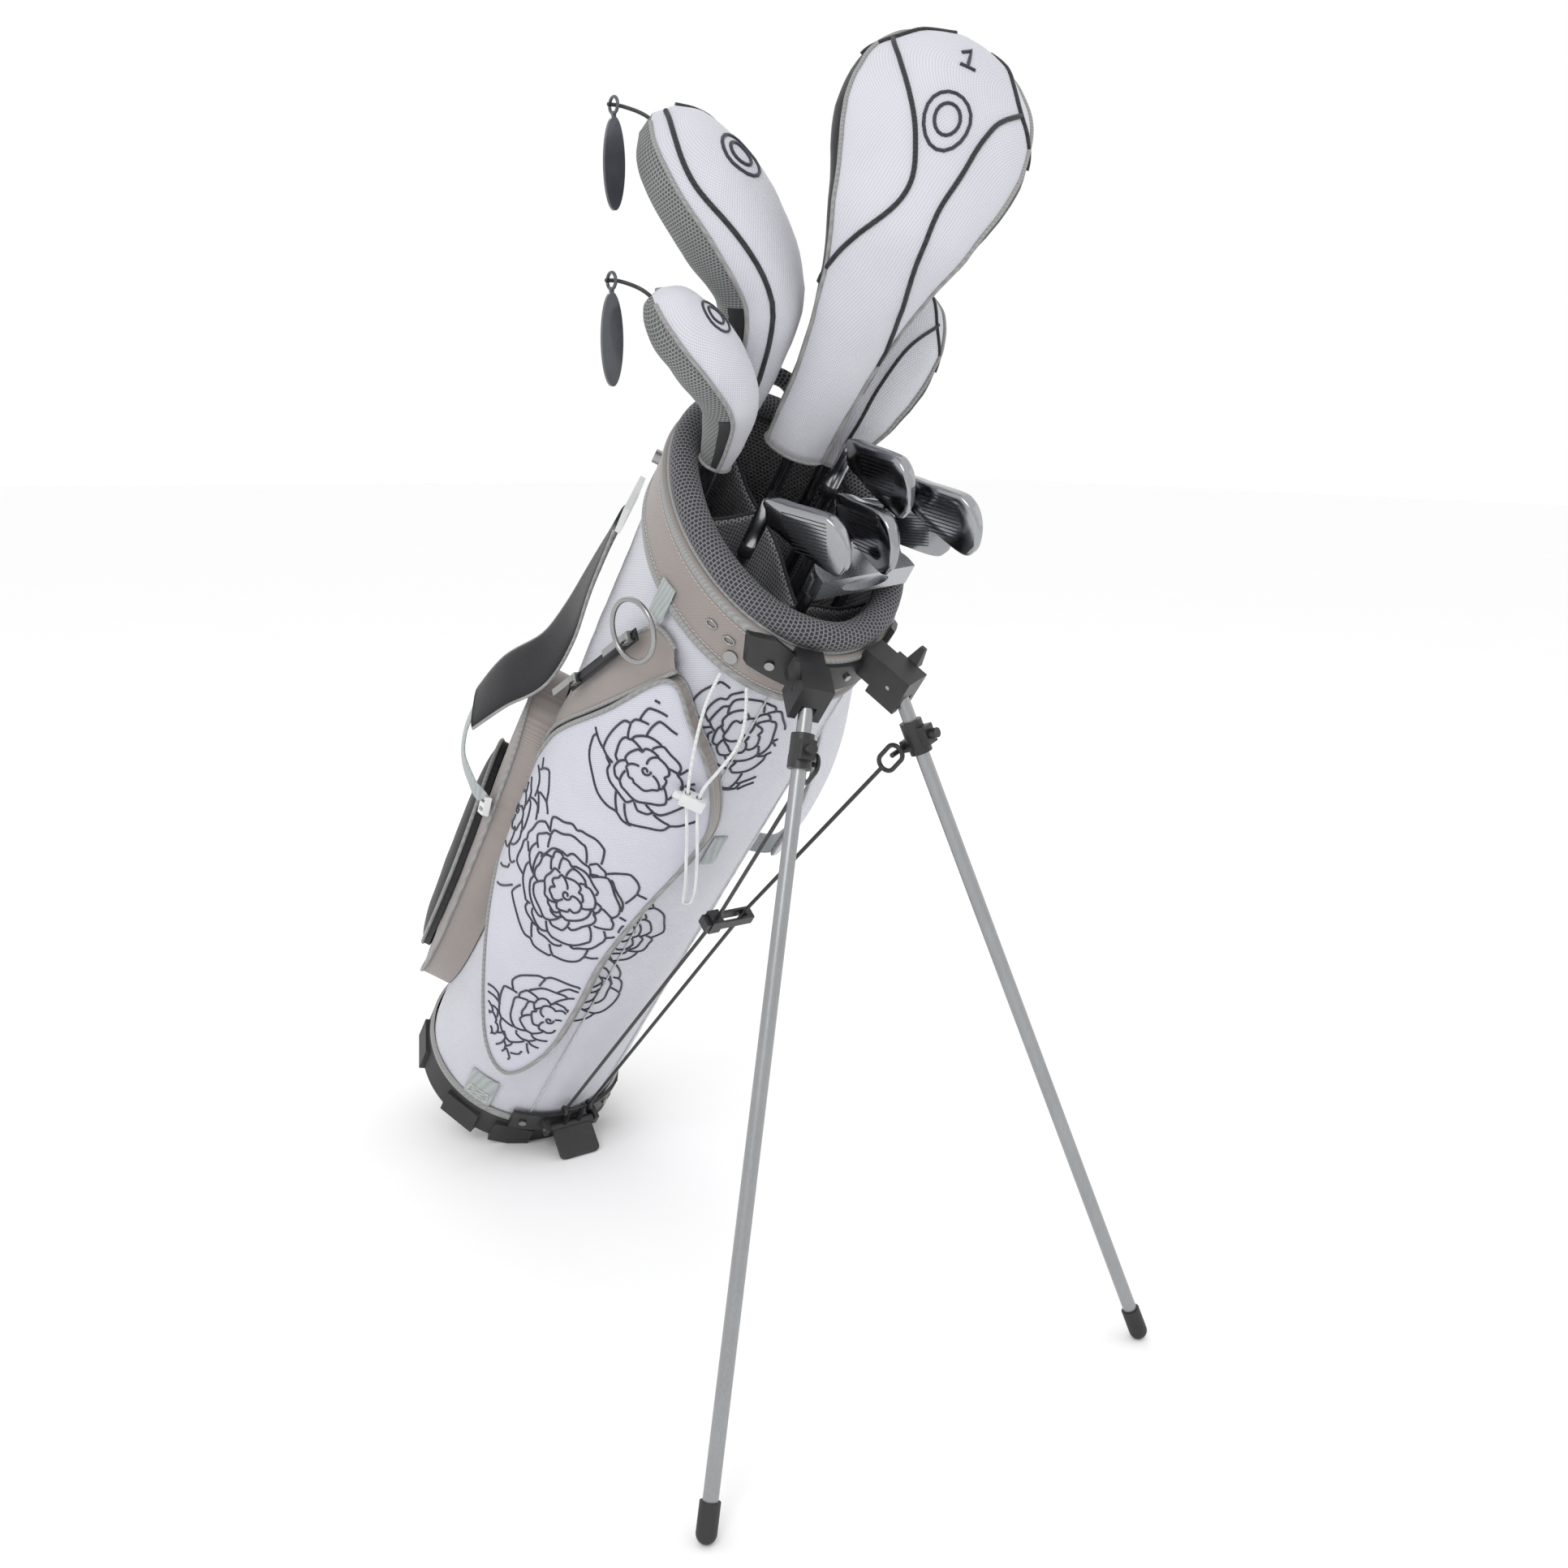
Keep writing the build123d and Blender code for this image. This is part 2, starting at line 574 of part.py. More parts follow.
# name: (mouth x, mouth y, butt x, butt y, length, toe direction in degrees, kind)
CLUBS = {
    "driver": (16, 46, 15, 45, 1108, 54, "wood"),
    "fairway": (-30, 83, -27, 62, 1002, 127, "wood"),
    "hybrid": (-58, 44, -55, 40, 936, 151, "wood"),
    "rescue": (58, 48, 56, 43, 926, 43, "wood"),
    "sand_wedge": (-51, -25, -51, -24, 866, -76, "iron"),
    "nine_iron": (18, -27, 16, -26, 871, -96, "iron"),
    "pitching_wedge": (50, -14, 48, -14, 852, -48, "iron"),
    "eight_iron": (36, 8, 34, 8, 898, -92, "iron"),
    "seven_iron": (54, -47, 52, -46, 906, -84, "iron"),
    "putter": (-22, -82, -20, -76, 847, 6, "putter"),
}
TAGGED = ("fairway", "hybrid")
# size of the head and cover, width factor, height factor, height where the open sleeve starts, sideways lean
WOOD_SHAPES = {
    "driver": (1.0, 1.0, 0.97, -250, 0),
    "fairway": (1.08, 0.58, 0.78, -133, -8),
    "hybrid": (0.71, 0.66, 0.90, -92, 10),
    "rescue": (0.77, 0.8, 1.12, -79, 0),
}


def club_frame(name):
    """Origin at the butt, Z up the shaft to the head, X towards the toe; the face looks along -Y."""
    mouth_x, mouth_y, butt_x, butt_y, length, toe, kind = CLUBS[name]
    butt = Vector(butt_x, butt_y, CLUB_FLOOR)
    up = (Vector(mouth_x, mouth_y, BAG_HEIGHT) - butt).normalized()
    out = Vector(math.cos(math.radians(toe)), math.sin(math.radians(toe)), 0)
    return Plane(origin=butt, x_dir=out - up * out.dot(up), z_dir=up)


def shaft_end(name):
    """How far up the shaft its tube ends, at the head's neck."""
    length, kind = CLUBS[name][4], CLUBS[name][6]
    neck = {"iron": 60.0, "putter": 30.0, "wood": 70.0}[kind]
    return length - neck


def club_shaft(name):
    """A tapered rubber grip over the lower end of a closed steel tube."""
    end = shaft_end(name)
    steel = Pos(0, 0, 5) * Cylinder(SHAFT_RADIUS, end - 5, align=(Align.CENTER, Align.CENTER, Align.MIN))
    steel -= Pos(0, 0, 8) * Cylinder(SHAFT_BORE, end - 11, align=(Align.CENTER, Align.CENTER, Align.MIN))
    grip = Cone(GRIP_RADII[0], GRIP_RADII[1], GRIP_LENGTH, align=(Align.CENTER, Align.CENTER, Align.MIN))
    grip -= Pos(0, 0, 5) * Cylinder(SHAFT_RADIUS + 0.01, GRIP_LENGTH, align=(Align.CENTER, Align.CENTER, Align.MIN))
    return club_frame(name) * Compound([steel, grip])


def sole_frame(length, lie):
    """At the heel: X along the sole to the toe, Z out of the sole."""
    tip = math.radians(90 - lie)
    return Plane(origin=(0, 0, length), x_dir=(math.cos(tip), 0, math.sin(tip)), z_dir=(-math.sin(tip), 0, math.cos(tip)))


def iron_head(name):
    """A bladed head: thick rounded sole, thin top line, face leaning back, round hosel."""
    length = CLUBS[name][4]
    outline = [(-5, 0), (56, 0), (68, -4), (76, -12), (80, -24), (79, -37), (73, -46), (63, -50), (36, -41),
               (10, -29), (-5, -22)]
    blade_face = fillet(make_face(Polyline(*outline, close=True)).vertices(), 4.0)
    blade = extrude(Plane.XZ * blade_face, 30, both=True)
    section = [(-8, 1), (6, 1), (9, -54), (5, -54)]
    wedge = extrude(Plane.YZ * make_face(Polyline(*section, close=True)), 120, both=True)
    blade = blade & wedge
    head = sole_frame(length, IRON_LIE) * blade
    head += Pos(0, 0, length - 60) * Cylinder(HOSEL_RADIUS, 52, align=(Align.CENTER, Align.CENTER, Align.MIN))
    head += Pos(0, 0, length - 8) * Sphere(HOSEL_RADIUS)
    return club_frame(name) * head


def putter_head(name):
    """A half-moon mallet with a flat face, an oval face recess and a window behind it."""
    length = CLUBS[name][4]
    half_width, depth, thick = 50.0, 31.0, 20.0
    moon = (Ellipse(half_width, depth) & Pos(0, 50) * Rectangle(200, 100)) + Pos(0, -3) * Rectangle(2 * half_width, 6)
    body = extrude(moon, thick)
    body -= Pos(0, -6, thick / 2) * Rot(90, 0, 0) * extrude(Ellipse(25, 7), 4, both=True)
    body -= Pos(-22, 12, 0) * extrude(Ellipse(7, 8), thick)
    body -= Pos(15, 12, thick - 5) * extrude(Ellipse(7, 8), 6)
    head = Pos(44, -6, length - 26) * Rot(0, -2, 0) * body
    neck = Pos(0, 0, length - 30) * Cylinder(HOSEL_RADIUS, 16, align=(Align.CENTER, Align.CENTER, Align.MIN))
    return club_frame(name) * (head + neck)


def wood_head(name):
    """A rounded clubhead with its hosel, in the size of its cover."""
    length = CLUBS[name][4]
    size, wide, tall, start, lean = WOOD_SHAPES[name]
    deep = 0.84 * size * wide
    ball = scale(Sphere(1), by=(37 * size * tall, 42 * deep, 17 * size * tall))
    centre = sole_frame(length, WOOD_LIE) * Pos(54 * size, lean * 0.6, -28 * size * tall)
    head = centre * ball
    head += rod_between((0, 0, length - 36 * size), centre.position, 5.0 * size)
    neck = Pos(0, 0, length - 70) * Cylinder(5.4, 70 - 36 * size, align=(Align.CENTER, Align.CENTER, Align.MIN))
    return club_frame(name) * (head + neck)


# Cover sections from the open sleeve to the closed toe end, for the largest cover:
# distance towards the toe, height above the heel, tip of the section, half width, half thickness.
COVER_SECTIONS = [
    (0, -250, 0, 26, 17), (0, -170, 0, 30, 19), (4, -100, 12, 42, 26), (16, -46, 30, 60, 33),
    (50, -6, 52, 76, 38), (88, 22, 58, 74, 37), (116, 40, 60, 54, 30), (132, 50, 60, 22, 16),
]


def cover_loft(name, shrink, keep):
    """The cover's skin, section by section; the sleeve is cut off where it would enter the bag."""
    length = CLUBS[name][4]
    size, wide, tall, start, lean = WOOD_SHAPES[name]
    sections = [row for row in COVER_SECTIONS[:keep] if row[1] * size * tall > start + 20]
    neck = (0, (start - shrink) / (size * tall), 0, 26, 18)
    rings = []
    for ahead, rise, tip, width, thick in [neck] + sections:
        turn = math.radians(tip)
        plane = Plane(
            origin=(ahead * size, lean * min(1, ahead / 16), length + rise * size * tall),
            x_dir=(0, 1, 0),
            z_dir=(math.sin(turn), 0, math.cos(turn)),
        )
        rings.append(plane * Ellipse(width * size * wide - shrink, thick * size - shrink))
    return loft(rings, ruled=True)


def club_cover(name):
    """The knitted-neck fabric cover, a closed toe end and an open sleeve round the shaft."""
    cover = club_frame(name) * (cover_loft(name, 0, 8) - cover_loft(name, 3.0, 7))
    if name in TAGGED:
        cover += tag_hook(name)
    return cover


def tag_hook(name):
    """A bent pin from the toe end through the tag's ring, along the tag's swing axis."""
    length = CLUBS[name][4]
    size, wide, tall, start, lean = WOOD_SHAPES[name]
    root = club_frame(name).from_local_coords(Vector(130 * size, lean, length + 48 * size * tall))
    bend = tag_pivot(name) + Vector(8, 0, 0)
    return rod_between(root, bend, 1.8) + Pos(*bend) * Sphere(1.8) + rod_between(bend, bend - Vector(13, 0, 0), 1.8)


def cover_tag(name):
    """A hook and a hanging oval tag at the cover's toe end; it hangs straight down under its pivot."""
    pivot = tag_pivot(name)
    plane = Plane(origin=pivot, x_dir=(1, 0, 0), z_dir=(0, math.sin(-lean), -math.cos(lean)))
    hook = plane * Rot(0, 90, 0) * Torus(6, 1.3)
    oval = plane * Pos(0, 0, 42) * Rot(90, 0, 0) * extrude(Ellipse(9, 34), 1.5, both=True)
    link = plane * Pos(0, 0, 7.5) * Box(3, 2.4, 6)
    return hook + link + oval


def tag_pivot(name):
    length = CLUBS[name][4]
    size, wide, tall, start, lean = WOOD_SHAPES[name]
    return club_frame(name).from_local_coords(Vector(132 * size + 33, 0, length + 50 * size * tall - 4))


# ---------------------------------------------------------------- assembly


def all_parts():
    parts = {
        "bag_body": bag_body(), "collar_band": collar_band(), "cuff_rim": cuff_rim(),
        "club_dividers": club_dividers(), "back_handle": back_handle(), "base_cup": base_cup(),
        "webbing_tabs": webbing_tabs(), "side_pocket": side_pocket(), "pocket_yoke": pocket_yoke(),
        "pocket_zipper": pocket_zipper(), "zipper_pull_upper": zipper_pull(120), "zipper_pull_lower": zipper_pull(18),
        "back_pocket": back_pocket(), "hip_pad": hip_pad(), "strap_near": strap_near(), "strap_far": strap_far(),
        "strap_buckles": strap_buckles(), "o_ring": o_ring(), "stand_bracket": stand_bracket(),
        "hinge_pins": hinge_pins(), "base_bracket": base_bracket(), "pedal_plate": pedal_plate(),
        "bridge_clip": bridge_clip(), "rivets_and_snaps": rivets_and_snaps(),
        "drawstring": drawstring(), "cord_toggle": cord_toggle(),
    }
    for side, word in ((-1, "left"), (1, "right")):
        parts["leg_tube_" + word] = leg_tube(side)
        parts["leg_foot_" + word] = leg_foot(side)
        parts["leg_clamp_" + word] = leg_clamp(side)
        parts["linkage_rod_" + word] = linkage_rod(side)
    for name, row in CLUBS.items():
        heads = {"iron": iron_head, "putter": putter_head, "wood": wood_head}
        parts[name + "_head"] = heads[row[6]](name)
        parts[name + "_shaft"] = club_shaft(name)
        if row[6] == "wood":
            parts[name + "_cover"] = club_cover(name)
    for name in TAGGED:
        parts[name + "_tag"] = cover_tag(name)
    return parts


def standing(parts):
    """The move that leans the set onto its legs and centres it over the origin."""
    leaned = Pos(0, 0, ground_offset) * Rot(LEAN, 0, 0)
    boxes = [(leaned * shape).bounding_box() for name, shape in parts.items() if name not in CORD_PIECES]
    low_x, high_x = min(b.min.X for b in boxes), max(b.max.X for b in boxes)
    low_y, high_y = min(b.min.Y for b in boxes), max(b.max.Y for b in boxes)
    return Pos(-(low_x + high_x) / 2, -(low_y + high_y) / 2, 0) * leaned


CORD_PIECES = ("drawstring",)


def main():
    os.makedirs("parts", exist_ok=True)
    parts = all_parts()
    place = standing(parts)
    print("standing move", place)
    for name, shape in parts.items():
        export_step(place * shape, "parts/" + name + ".step")


if __name__ == "__main__":
    main()
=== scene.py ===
import bpy
import math
import random
from mathutils import Matrix, Vector, noise
from mathutils.bvhtree import BVHTree
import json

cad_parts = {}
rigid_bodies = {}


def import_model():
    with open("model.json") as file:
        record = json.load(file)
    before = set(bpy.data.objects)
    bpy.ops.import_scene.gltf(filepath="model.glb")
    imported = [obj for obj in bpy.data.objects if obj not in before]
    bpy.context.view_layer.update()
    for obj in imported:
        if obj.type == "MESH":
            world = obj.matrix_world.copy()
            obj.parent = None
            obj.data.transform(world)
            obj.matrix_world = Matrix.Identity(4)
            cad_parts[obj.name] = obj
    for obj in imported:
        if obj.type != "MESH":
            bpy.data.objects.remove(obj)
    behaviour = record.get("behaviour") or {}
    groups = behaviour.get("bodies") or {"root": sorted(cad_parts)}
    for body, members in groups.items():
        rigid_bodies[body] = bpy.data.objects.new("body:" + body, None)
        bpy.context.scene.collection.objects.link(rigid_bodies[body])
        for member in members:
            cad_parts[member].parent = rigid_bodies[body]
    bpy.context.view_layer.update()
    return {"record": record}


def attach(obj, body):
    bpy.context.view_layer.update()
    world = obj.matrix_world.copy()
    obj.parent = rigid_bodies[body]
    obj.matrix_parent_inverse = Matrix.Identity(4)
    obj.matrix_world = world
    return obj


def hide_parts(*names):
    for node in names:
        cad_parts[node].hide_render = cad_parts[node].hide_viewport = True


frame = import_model()
record = frame["record"]
BASE = Vector(record["mounts"][0]["pos_m"])
LEAN = math.radians(38.4)
TILT = math.tan(math.radians(13.4))
BAG_TOP = 829.0
SHELL_TOP = 826.0
FOOT_HALF_X, FOOT_HALF_Y = 110.0, 107.0
MOUTH_HALF_X, MOUTH_HALF_Y = 103.0, 125.0
RIM_REACH = 120.0
CUFF_INSET = 11.0
ROUND = range(0, 360, 2)


# ------------------------------------------------------------ the bag's own upright frame, in millimetres


def turned(v):
    x, y, z = v
    return Vector((x, y * math.cos(LEAN) - z * math.sin(LEAN), y * math.sin(LEAN) + z * math.cos(LEAN)))


def world(p):
    return BASE + turned(p) / 1000


def half_axes(z, off=0.0):
    """Half width and half depth of the bag's oval section at one height, off millimetres outside its skin."""
    share = z / BAG_TOP
    half_x = FOOT_HALF_X + (MOUTH_HALF_X - FOOT_HALF_X) * share
    half_y = FOOT_HALF_Y + (MOUTH_HALF_Y - FOOT_HALF_Y) * share
    return half_x + off, half_y + off


def heading(angle):
    """Cosine and sine of an angle in degrees."""
    return math.cos(math.radians(angle)), math.sin(math.radians(angle))


def on_bag(angle, z, off=0.0):
    c, s = heading(angle)
    a, b = half_axes(z, off)
    return Vector((a * c, b * s, z))


def slant(z_middle, angle):
    """Height of the slanted rim plane at one side of the bag."""
    return z_middle + RIM_REACH * math.sin(math.radians(angle)) * TILT


def seen_from(angle, w, z, off):
    """The point of the bag's side that lies at (w, z) when seen along one direction."""
    c, s = heading(angle)
    a, b = half_axes(z, off)
    qa = (c / a) ** 2 + (s / b) ** 2
    qb = 2 * w * c * s * (1 / b ** 2 - 1 / a ** 2)
    qc = (w * s / a) ** 2 + (w * c / b) ** 2 - 1
    d = (-qb + math.sqrt(max(qb * qb - 4 * qa * qc, 0))) / (2 * qa)
    return Vector((-w * s + d * c, w * c + d * s, z))


# ------------------------------------------------------------ materials


class Nodes:
    def __init__(self, name):
        self.mat = bpy.data.materials.new(name)
        self.mat.use_nodes = True
        self.tree = self.mat.node_tree
        self.bsdf = self.tree.nodes["Principled BSDF"]

    def add(self, kind, **values):
        node = self.tree.nodes.new(kind)
        for key, value in values.items():
            setattr(node, key, value)
        return node

    def link(self, source, target):
        self.tree.links.new(source, target)

    def feed(self, socket, value):
        """Sets a socket to a number or a colour, or links another node's output to it."""
        if isinstance(value, (int, float)):
            socket.default_value = value
        elif isinstance(value, tuple):
            socket.default_value = (*value, 1)
        else:
            self.link(value, socket)

    def math(self, operation, *values):
        node = self.add("ShaderNodeMath", operation=operation)
        for socket, value in zip(node.inputs, values):
            self.feed(socket, value)
        return node.outputs[0]

    def coords(self, kind):
        return self.add("ShaderNodeTexCoord").outputs[kind]

    def noise(self, where, scale, detail=3.0):
        node = self.add("ShaderNodeTexNoise")
        node.inputs["Scale"].default_value = scale
        node.inputs["Detail"].default_value = detail
        self.link(where, node.inputs["Vector"])
        return node.outputs["Fac"]

    def mix(self, factor, first, second):
        node = self.add("ShaderNodeMix", data_type="RGBA")
        for socket, value in ((node.inputs[0], factor), (node.inputs[6], first), (node.inputs[7], second)):
            self.feed(socket, value)
        return node.outputs[2]

    def ramp(self, value, low, high):
        node = self.add("ShaderNodeMapRange")
        node.inputs["From Min"].default_value = low
        node.inputs["From Max"].default_value = high
        self.link(value, node.inputs["Value"])
        return node.outputs[0]

    def bump(self, height, strength, distance):
        node = self.add("ShaderNodeBump")
        node.inputs["Strength"].default_value = strength
        node.inputs["Distance"].default_value = distance
        self.link(height, node.inputs["Height"])
        self.link(node.outputs[0], self.bsdf.inputs["Normal"])

    def set(self, **values):
        for key, value in values.items():
            self.bsdf.inputs[key.replace("_", " ")].default_value = value


def cloth(name, light, dark, pitch=0.0019, rough=0.75, sheen=0.25, ribs=1.0):
    """A plain weave that follows the sewn panel's own two directions."""
    n = Nodes(name)
    split = n.add("ShaderNodeSeparateXYZ")
    n.link(n.coords("UV"), split.inputs[0])
    waves = []
    for axis, factor in ((0, 1.0), (1, ribs)):
        phase = n.math("MULTIPLY", split.outputs[axis], 2 * math.pi / pitch * factor)
        waves.append(n.math("SINE", phase))
    weave = n.math("MULTIPLY", waves[0], waves[1])
    wear = n.noise(n.coords("Object"), 14.0, 5.0)
    fine = n.noise(n.coords("Object"), 420.0, 2.0)
    shade = n.math("ADD", n.ramp(weave, -1.3, 1.3), n.math("MULTIPLY", n.math("SUBTRACT", wear, 0.5), 0.35))
    n.link(n.mix(shade, dark, light), n.bsdf.inputs["Base Color"])
    n.link(n.math("ADD", n.math("MULTIPLY", fine, 0.16), rough - 0.08), n.bsdf.inputs["Roughness"])
    n.bump(n.math("ADD", weave, n.math("MULTIPLY", fine, 0.8)), 0.35, 0.0004)
    n.set(Sheen_Weight=sheen, Sheen_Roughness=0.4, Specular_IOR_Level=0.3)
    return n.mat


def spacer_mesh(name, thread, hole, cell=0.0036):
    """Open honeycomb knit: threads round dark holes."""
    n = Nodes(name)
    brick = n.add("ShaderNodeTexBrick", offset=0.5, squash=1.0)
    scaling = n.add("ShaderNodeMapping")
    scaling.inputs["Scale"].default_value = (1 / cell, 1 / cell, 1)
    n.link(n.coords("UV"), scaling.inputs["Vector"])
    n.link(scaling.outputs[0], brick.inputs["Vector"])
    for key, value in (("Scale", 1.0), ("Mortar Size", 0.17), ("Mortar Smooth", 0.55),
                       ("Brick Width", 1.0), ("Row Height", 0.86)):
        brick.inputs[key].default_value = value
    wear = n.noise(n.coords("Object"), 30.0, 4.0)
    tone = n.mix(wear, tuple(0.8 * c for c in thread), tuple(min(1, 1.15 * c) for c in thread))
    n.link(n.mix(brick.outputs["Fac"], hole, tone), n.bsdf.inputs["Base Color"])
    n.bump(brick.outputs["Fac"], 0.6, 0.0009)
    n.set(Roughness=0.8, Sheen_Weight=0.1, Specular_IOR_Level=0.25)
    return n.mat


def braid(name, light, dark, scale=900.0, rough=0.7):
    """Narrow webbing, piping and cord: a fine slanted twill."""
    n = Nodes(name)
    wave = n.add("ShaderNodeTexWave", wave_type="BANDS", bands_direction="DIAGONAL")
    wave.inputs["Scale"].default_value = scale / 6
    wave.inputs["Distortion"].default_value = 1.2
    wave.inputs["Detail"].default_value = 1.0
    n.link(n.coords("Object"), wave.inputs["Vector"])
    fuzz = n.noise(n.coords("Object"), scale, 2.0)
    shade = n.math("ADD", n.math("MULTIPLY", wave.outputs["Fac"], 0.6), n.math("MULTIPLY", fuzz, 0.4))
    n.link(n.mix(shade, dark, light), n.bsdf.inputs["Base Color"])
    n.bump(n.math("ADD", wave.outputs["Fac"], fuzz), 0.3, 0.0003)
    n.set(Roughness=rough, Sheen_Weight=0.2, Specular_IOR_Level=0.3)
    return n.mat


def moulded(name, light, dark, rough=0.45, grain=260.0, coat=0.0):
    """Moulded plastic or rubber with a fine texture, scuffed a little."""
    n = Nodes(name)
    where = n.coords("Object")
    grain_height = n.noise(where, grain, 3.0)
    scuffs = n.noise(where, 22.0, 6.0)
    n.link(n.mix(n.ramp(scuffs, 0.35, 0.7), dark, light), n.bsdf.inputs["Base Color"])
    n.link(n.math("ADD", n.math("MULTIPLY", scuffs, 0.22), rough - 0.11), n.bsdf.inputs["Roughness"])
    n.bump(grain_height, 0.25, 0.0002)
    n.set(Coat_Weight=coat)
    return n.mat


def metal(name, light, dark, rough=0.25, along=(1, 1, 1)):
    """Metal with brushing along one direction and faint smudges."""
    n = Nodes(name)
    stretch = n.add("ShaderNodeMapping")
    stretch.inputs["Scale"].default_value = along
    n.link(n.coords("Object"), stretch.inputs["Vector"])
    brushed = n.noise(stretch.outputs[0], 900.0, 2.0)
    smudge = n.noise(n.coords("Object"), 18.0, 4.0)
    shade = n.math("MULTIPLY", n.math("ADD", brushed, smudge), 0.5)
    n.link(n.mix(shade, dark, light), n.bsdf.inputs["Base Color"])
    duller = n.math("ADD", n.math("MULTIPLY", smudge, 0.12), n.math("MULTIPLY", brushed, 0.1))
    n.link(n.math("ADD", duller, rough - 0.1), n.bsdf.inputs["Roughness"])
    n.bump(brushed, 0.06, 0.00004)
    n.set(Metallic=1.0)
    return n.mat


WHITE = cloth("white_nylon", (0.70, 0.70, 0.75), (0.42, 0.42, 0.48), pitch=0.0026)
PRINT = cloth("pocket_nylon", (0.70, 0.70, 0.765), (0.43, 0.43, 0.505), pitch=0.0026)
COVER = cloth("cover_nylon", (0.73, 0.73, 0.775), (0.45, 0.45, 0.51), pitch=0.0024, ribs=0.8)
TAUPE = cloth("taupe_satin", (0.36, 0.32, 0.30), (0.22, 0.195, 0.185), pitch=0.0019, rough=0.55, sheen=0.3)
BLACK = cloth("black_fabric", (0.030, 0.030, 0.034), (0.010, 0.010, 0.012), pitch=0.0018, rough=0.85)
SEAT = spacer_mesh("cuff_mesh", (0.20, 0.20, 0.215), (0.035, 0.035, 0.04))
GUSSET = spacer_mesh("gusset_mesh", (0.30, 0.315, 0.31), (0.09, 0.095, 0.095), cell=0.0034)
LINER = spacer_mesh("liner_mesh", (0.36, 0.36, 0.375), (0.07, 0.07, 0.075), cell=0.0038)
PIPE = braid("grey_piping", (0.34, 0.34, 0.335), (0.22, 0.22, 0.22))
PIPE_BLACK = braid("black_piping", (0.035, 0.035, 0.04), (0.012, 0.012, 0.014))
WEBBING = braid("grey_webbing", (0.42, 0.46, 0.455), (0.29, 0.32, 0.315), scale=700.0)
INK = braid("printed_line", (0.045, 0.045, 0.07), (0.02, 0.02, 0.03), scale=1200.0, rough=0.6)
CORD = braid("white_cord", (0.80, 0.80, 0.81), (0.58, 0.58, 0.60), scale=1400.0)
THREAD = braid("grey_thread", (0.62, 0.62, 0.62), (0.42, 0.42, 0.42), scale=1500.0)
RUBBER = moulded("black_rubber", (0.030, 0.030, 0.032), (0.014, 0.014, 0.015), rough=0.6, grain=420.0)
PLASTIC = moulded("black_plastic", (0.028, 0.028, 0.030), (0.012, 0.012, 0.013), rough=0.38, grain=600.0)
WHITE_PLASTIC = moulded("white_plastic", (0.74, 0.75, 0.75), (0.62, 0.63, 0.63), rough=0.3, grain=500.0,
                        coat=0.2)
ALUMINIUM = metal("satin_aluminium", (0.40, 0.41, 0.42), (0.25, 0.255, 0.265), rough=0.34, along=(1, 1, 0.05))
STEEL = metal("nickel_steel", (0.42, 0.42, 0.42), (0.26, 0.26, 0.265), rough=0.26)
CHROME = metal("shaft_chrome", (0.50, 0.51, 0.53), (0.36, 0.365, 0.38), rough=0.16)
DARK_CHROME = metal("iron_chrome", (0.46, 0.465, 0.48), (0.24, 0.245, 0.26), rough=0.15)
# Near-black metal for the iron face lines: painted shade of the grooves' hollows, which are not cut.
GROOVE_SHADE = metal("face_groove_shade", (0.06, 0.06, 0.065), (0.03, 0.03, 0.032), rough=0.4)
SATIN = metal("putter_satin", (0.50, 0.51, 0.53), (0.34, 0.35, 0.37), rough=0.26, along=(1, 0.08, 1))
WIRE = moulded("black_wire", (0.025, 0.025, 0.027), (0.012, 0.012, 0.013), rough=0.32, grain=900.0)
HEAD_PAINT = moulded("head_paint", (0.03, 0.03, 0.035), (0.015, 0.015, 0.018), rough=0.2, coat=0.6)
TAG = moulded("tag_plastic", (0.075, 0.08, 0.095), (0.035, 0.037, 0.045), rough=0.2, grain=700.0, coat=0.4)


def dress(node, mat):
    """Gives a carried-over CAD node its finish."""
    for obj in bpy.data.objects:
        if obj.type == "MESH" and (obj.name == node or obj.name.startswith(node + ".")):
            if not obj.data.materials:
                obj.data.materials.append(mat)
            for index in range(len(obj.data.materials)):
                obj.data.materials[index] = mat


# ------------------------------------------------------------ mesh helpers


def placed(name, data, body):
    """Puts a mesh or a curve into the scene as a piece that rides on one body."""
    obj = bpy.data.objects.new(name, data)
    bpy.context.collection.objects.link(obj)
    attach(obj, body)
    return obj


def mesh_piece(name, body, points, faces, uvs=None, mats=(), face_mats=None, slot=None):
    """A mesh from points in the bag's frame, with one UV in metres for each corner."""
    data = bpy.data.meshes.new(name)
    data.from_pydata([world(p) for p in points], [], faces)
    if uvs:
        layer = data.uv_layers.new(name="panel")
        for poly in data.polygons:
            for corner in poly.loop_indices:
                layer.data[corner].uv = uvs[data.loops[corner].vertex_index]
    for mat in mats:
        data.materials.append(mat)
    if face_mats:
        for poly, index in zip(data.polygons, face_mats):
            poly.material_index = index
    for poly in data.polygons:
        poly.use_smooth = True
    data.update()
    return placed(name, data, body)


def grid(rows, closed_u=False):
    """Points and faces of rows of points; u runs along a row, v from row to row."""
    count, wide = len(rows), len(rows[0])
    points = [p for row in rows for p in row]
    faces = []
    for j in range(count - 1):
        for i in range(wide if closed_u else wide - 1):
            beside = (i + 1) % wide
            faces.append((j * wide + i, j * wide + beside, (j + 1) * wide + beside, (j + 1) * wide + i))
    return points, faces


def row_uvs(rows):
    """Distances along and across the rows, in metres."""
    uvs = []
    climbed = 0.0
    for j, row in enumerate(rows):
        if j:
            climbed += (Vector(row[len(row) // 2]) - Vector(rows[j - 1][len(row) // 2])).length / 1000
        run = 0.0
        for i, p in enumerate(row):
            if i:
                run += (Vector(p) - Vector(row[i - 1])).length / 1000
            uvs.append((run, climbed))
    return uvs


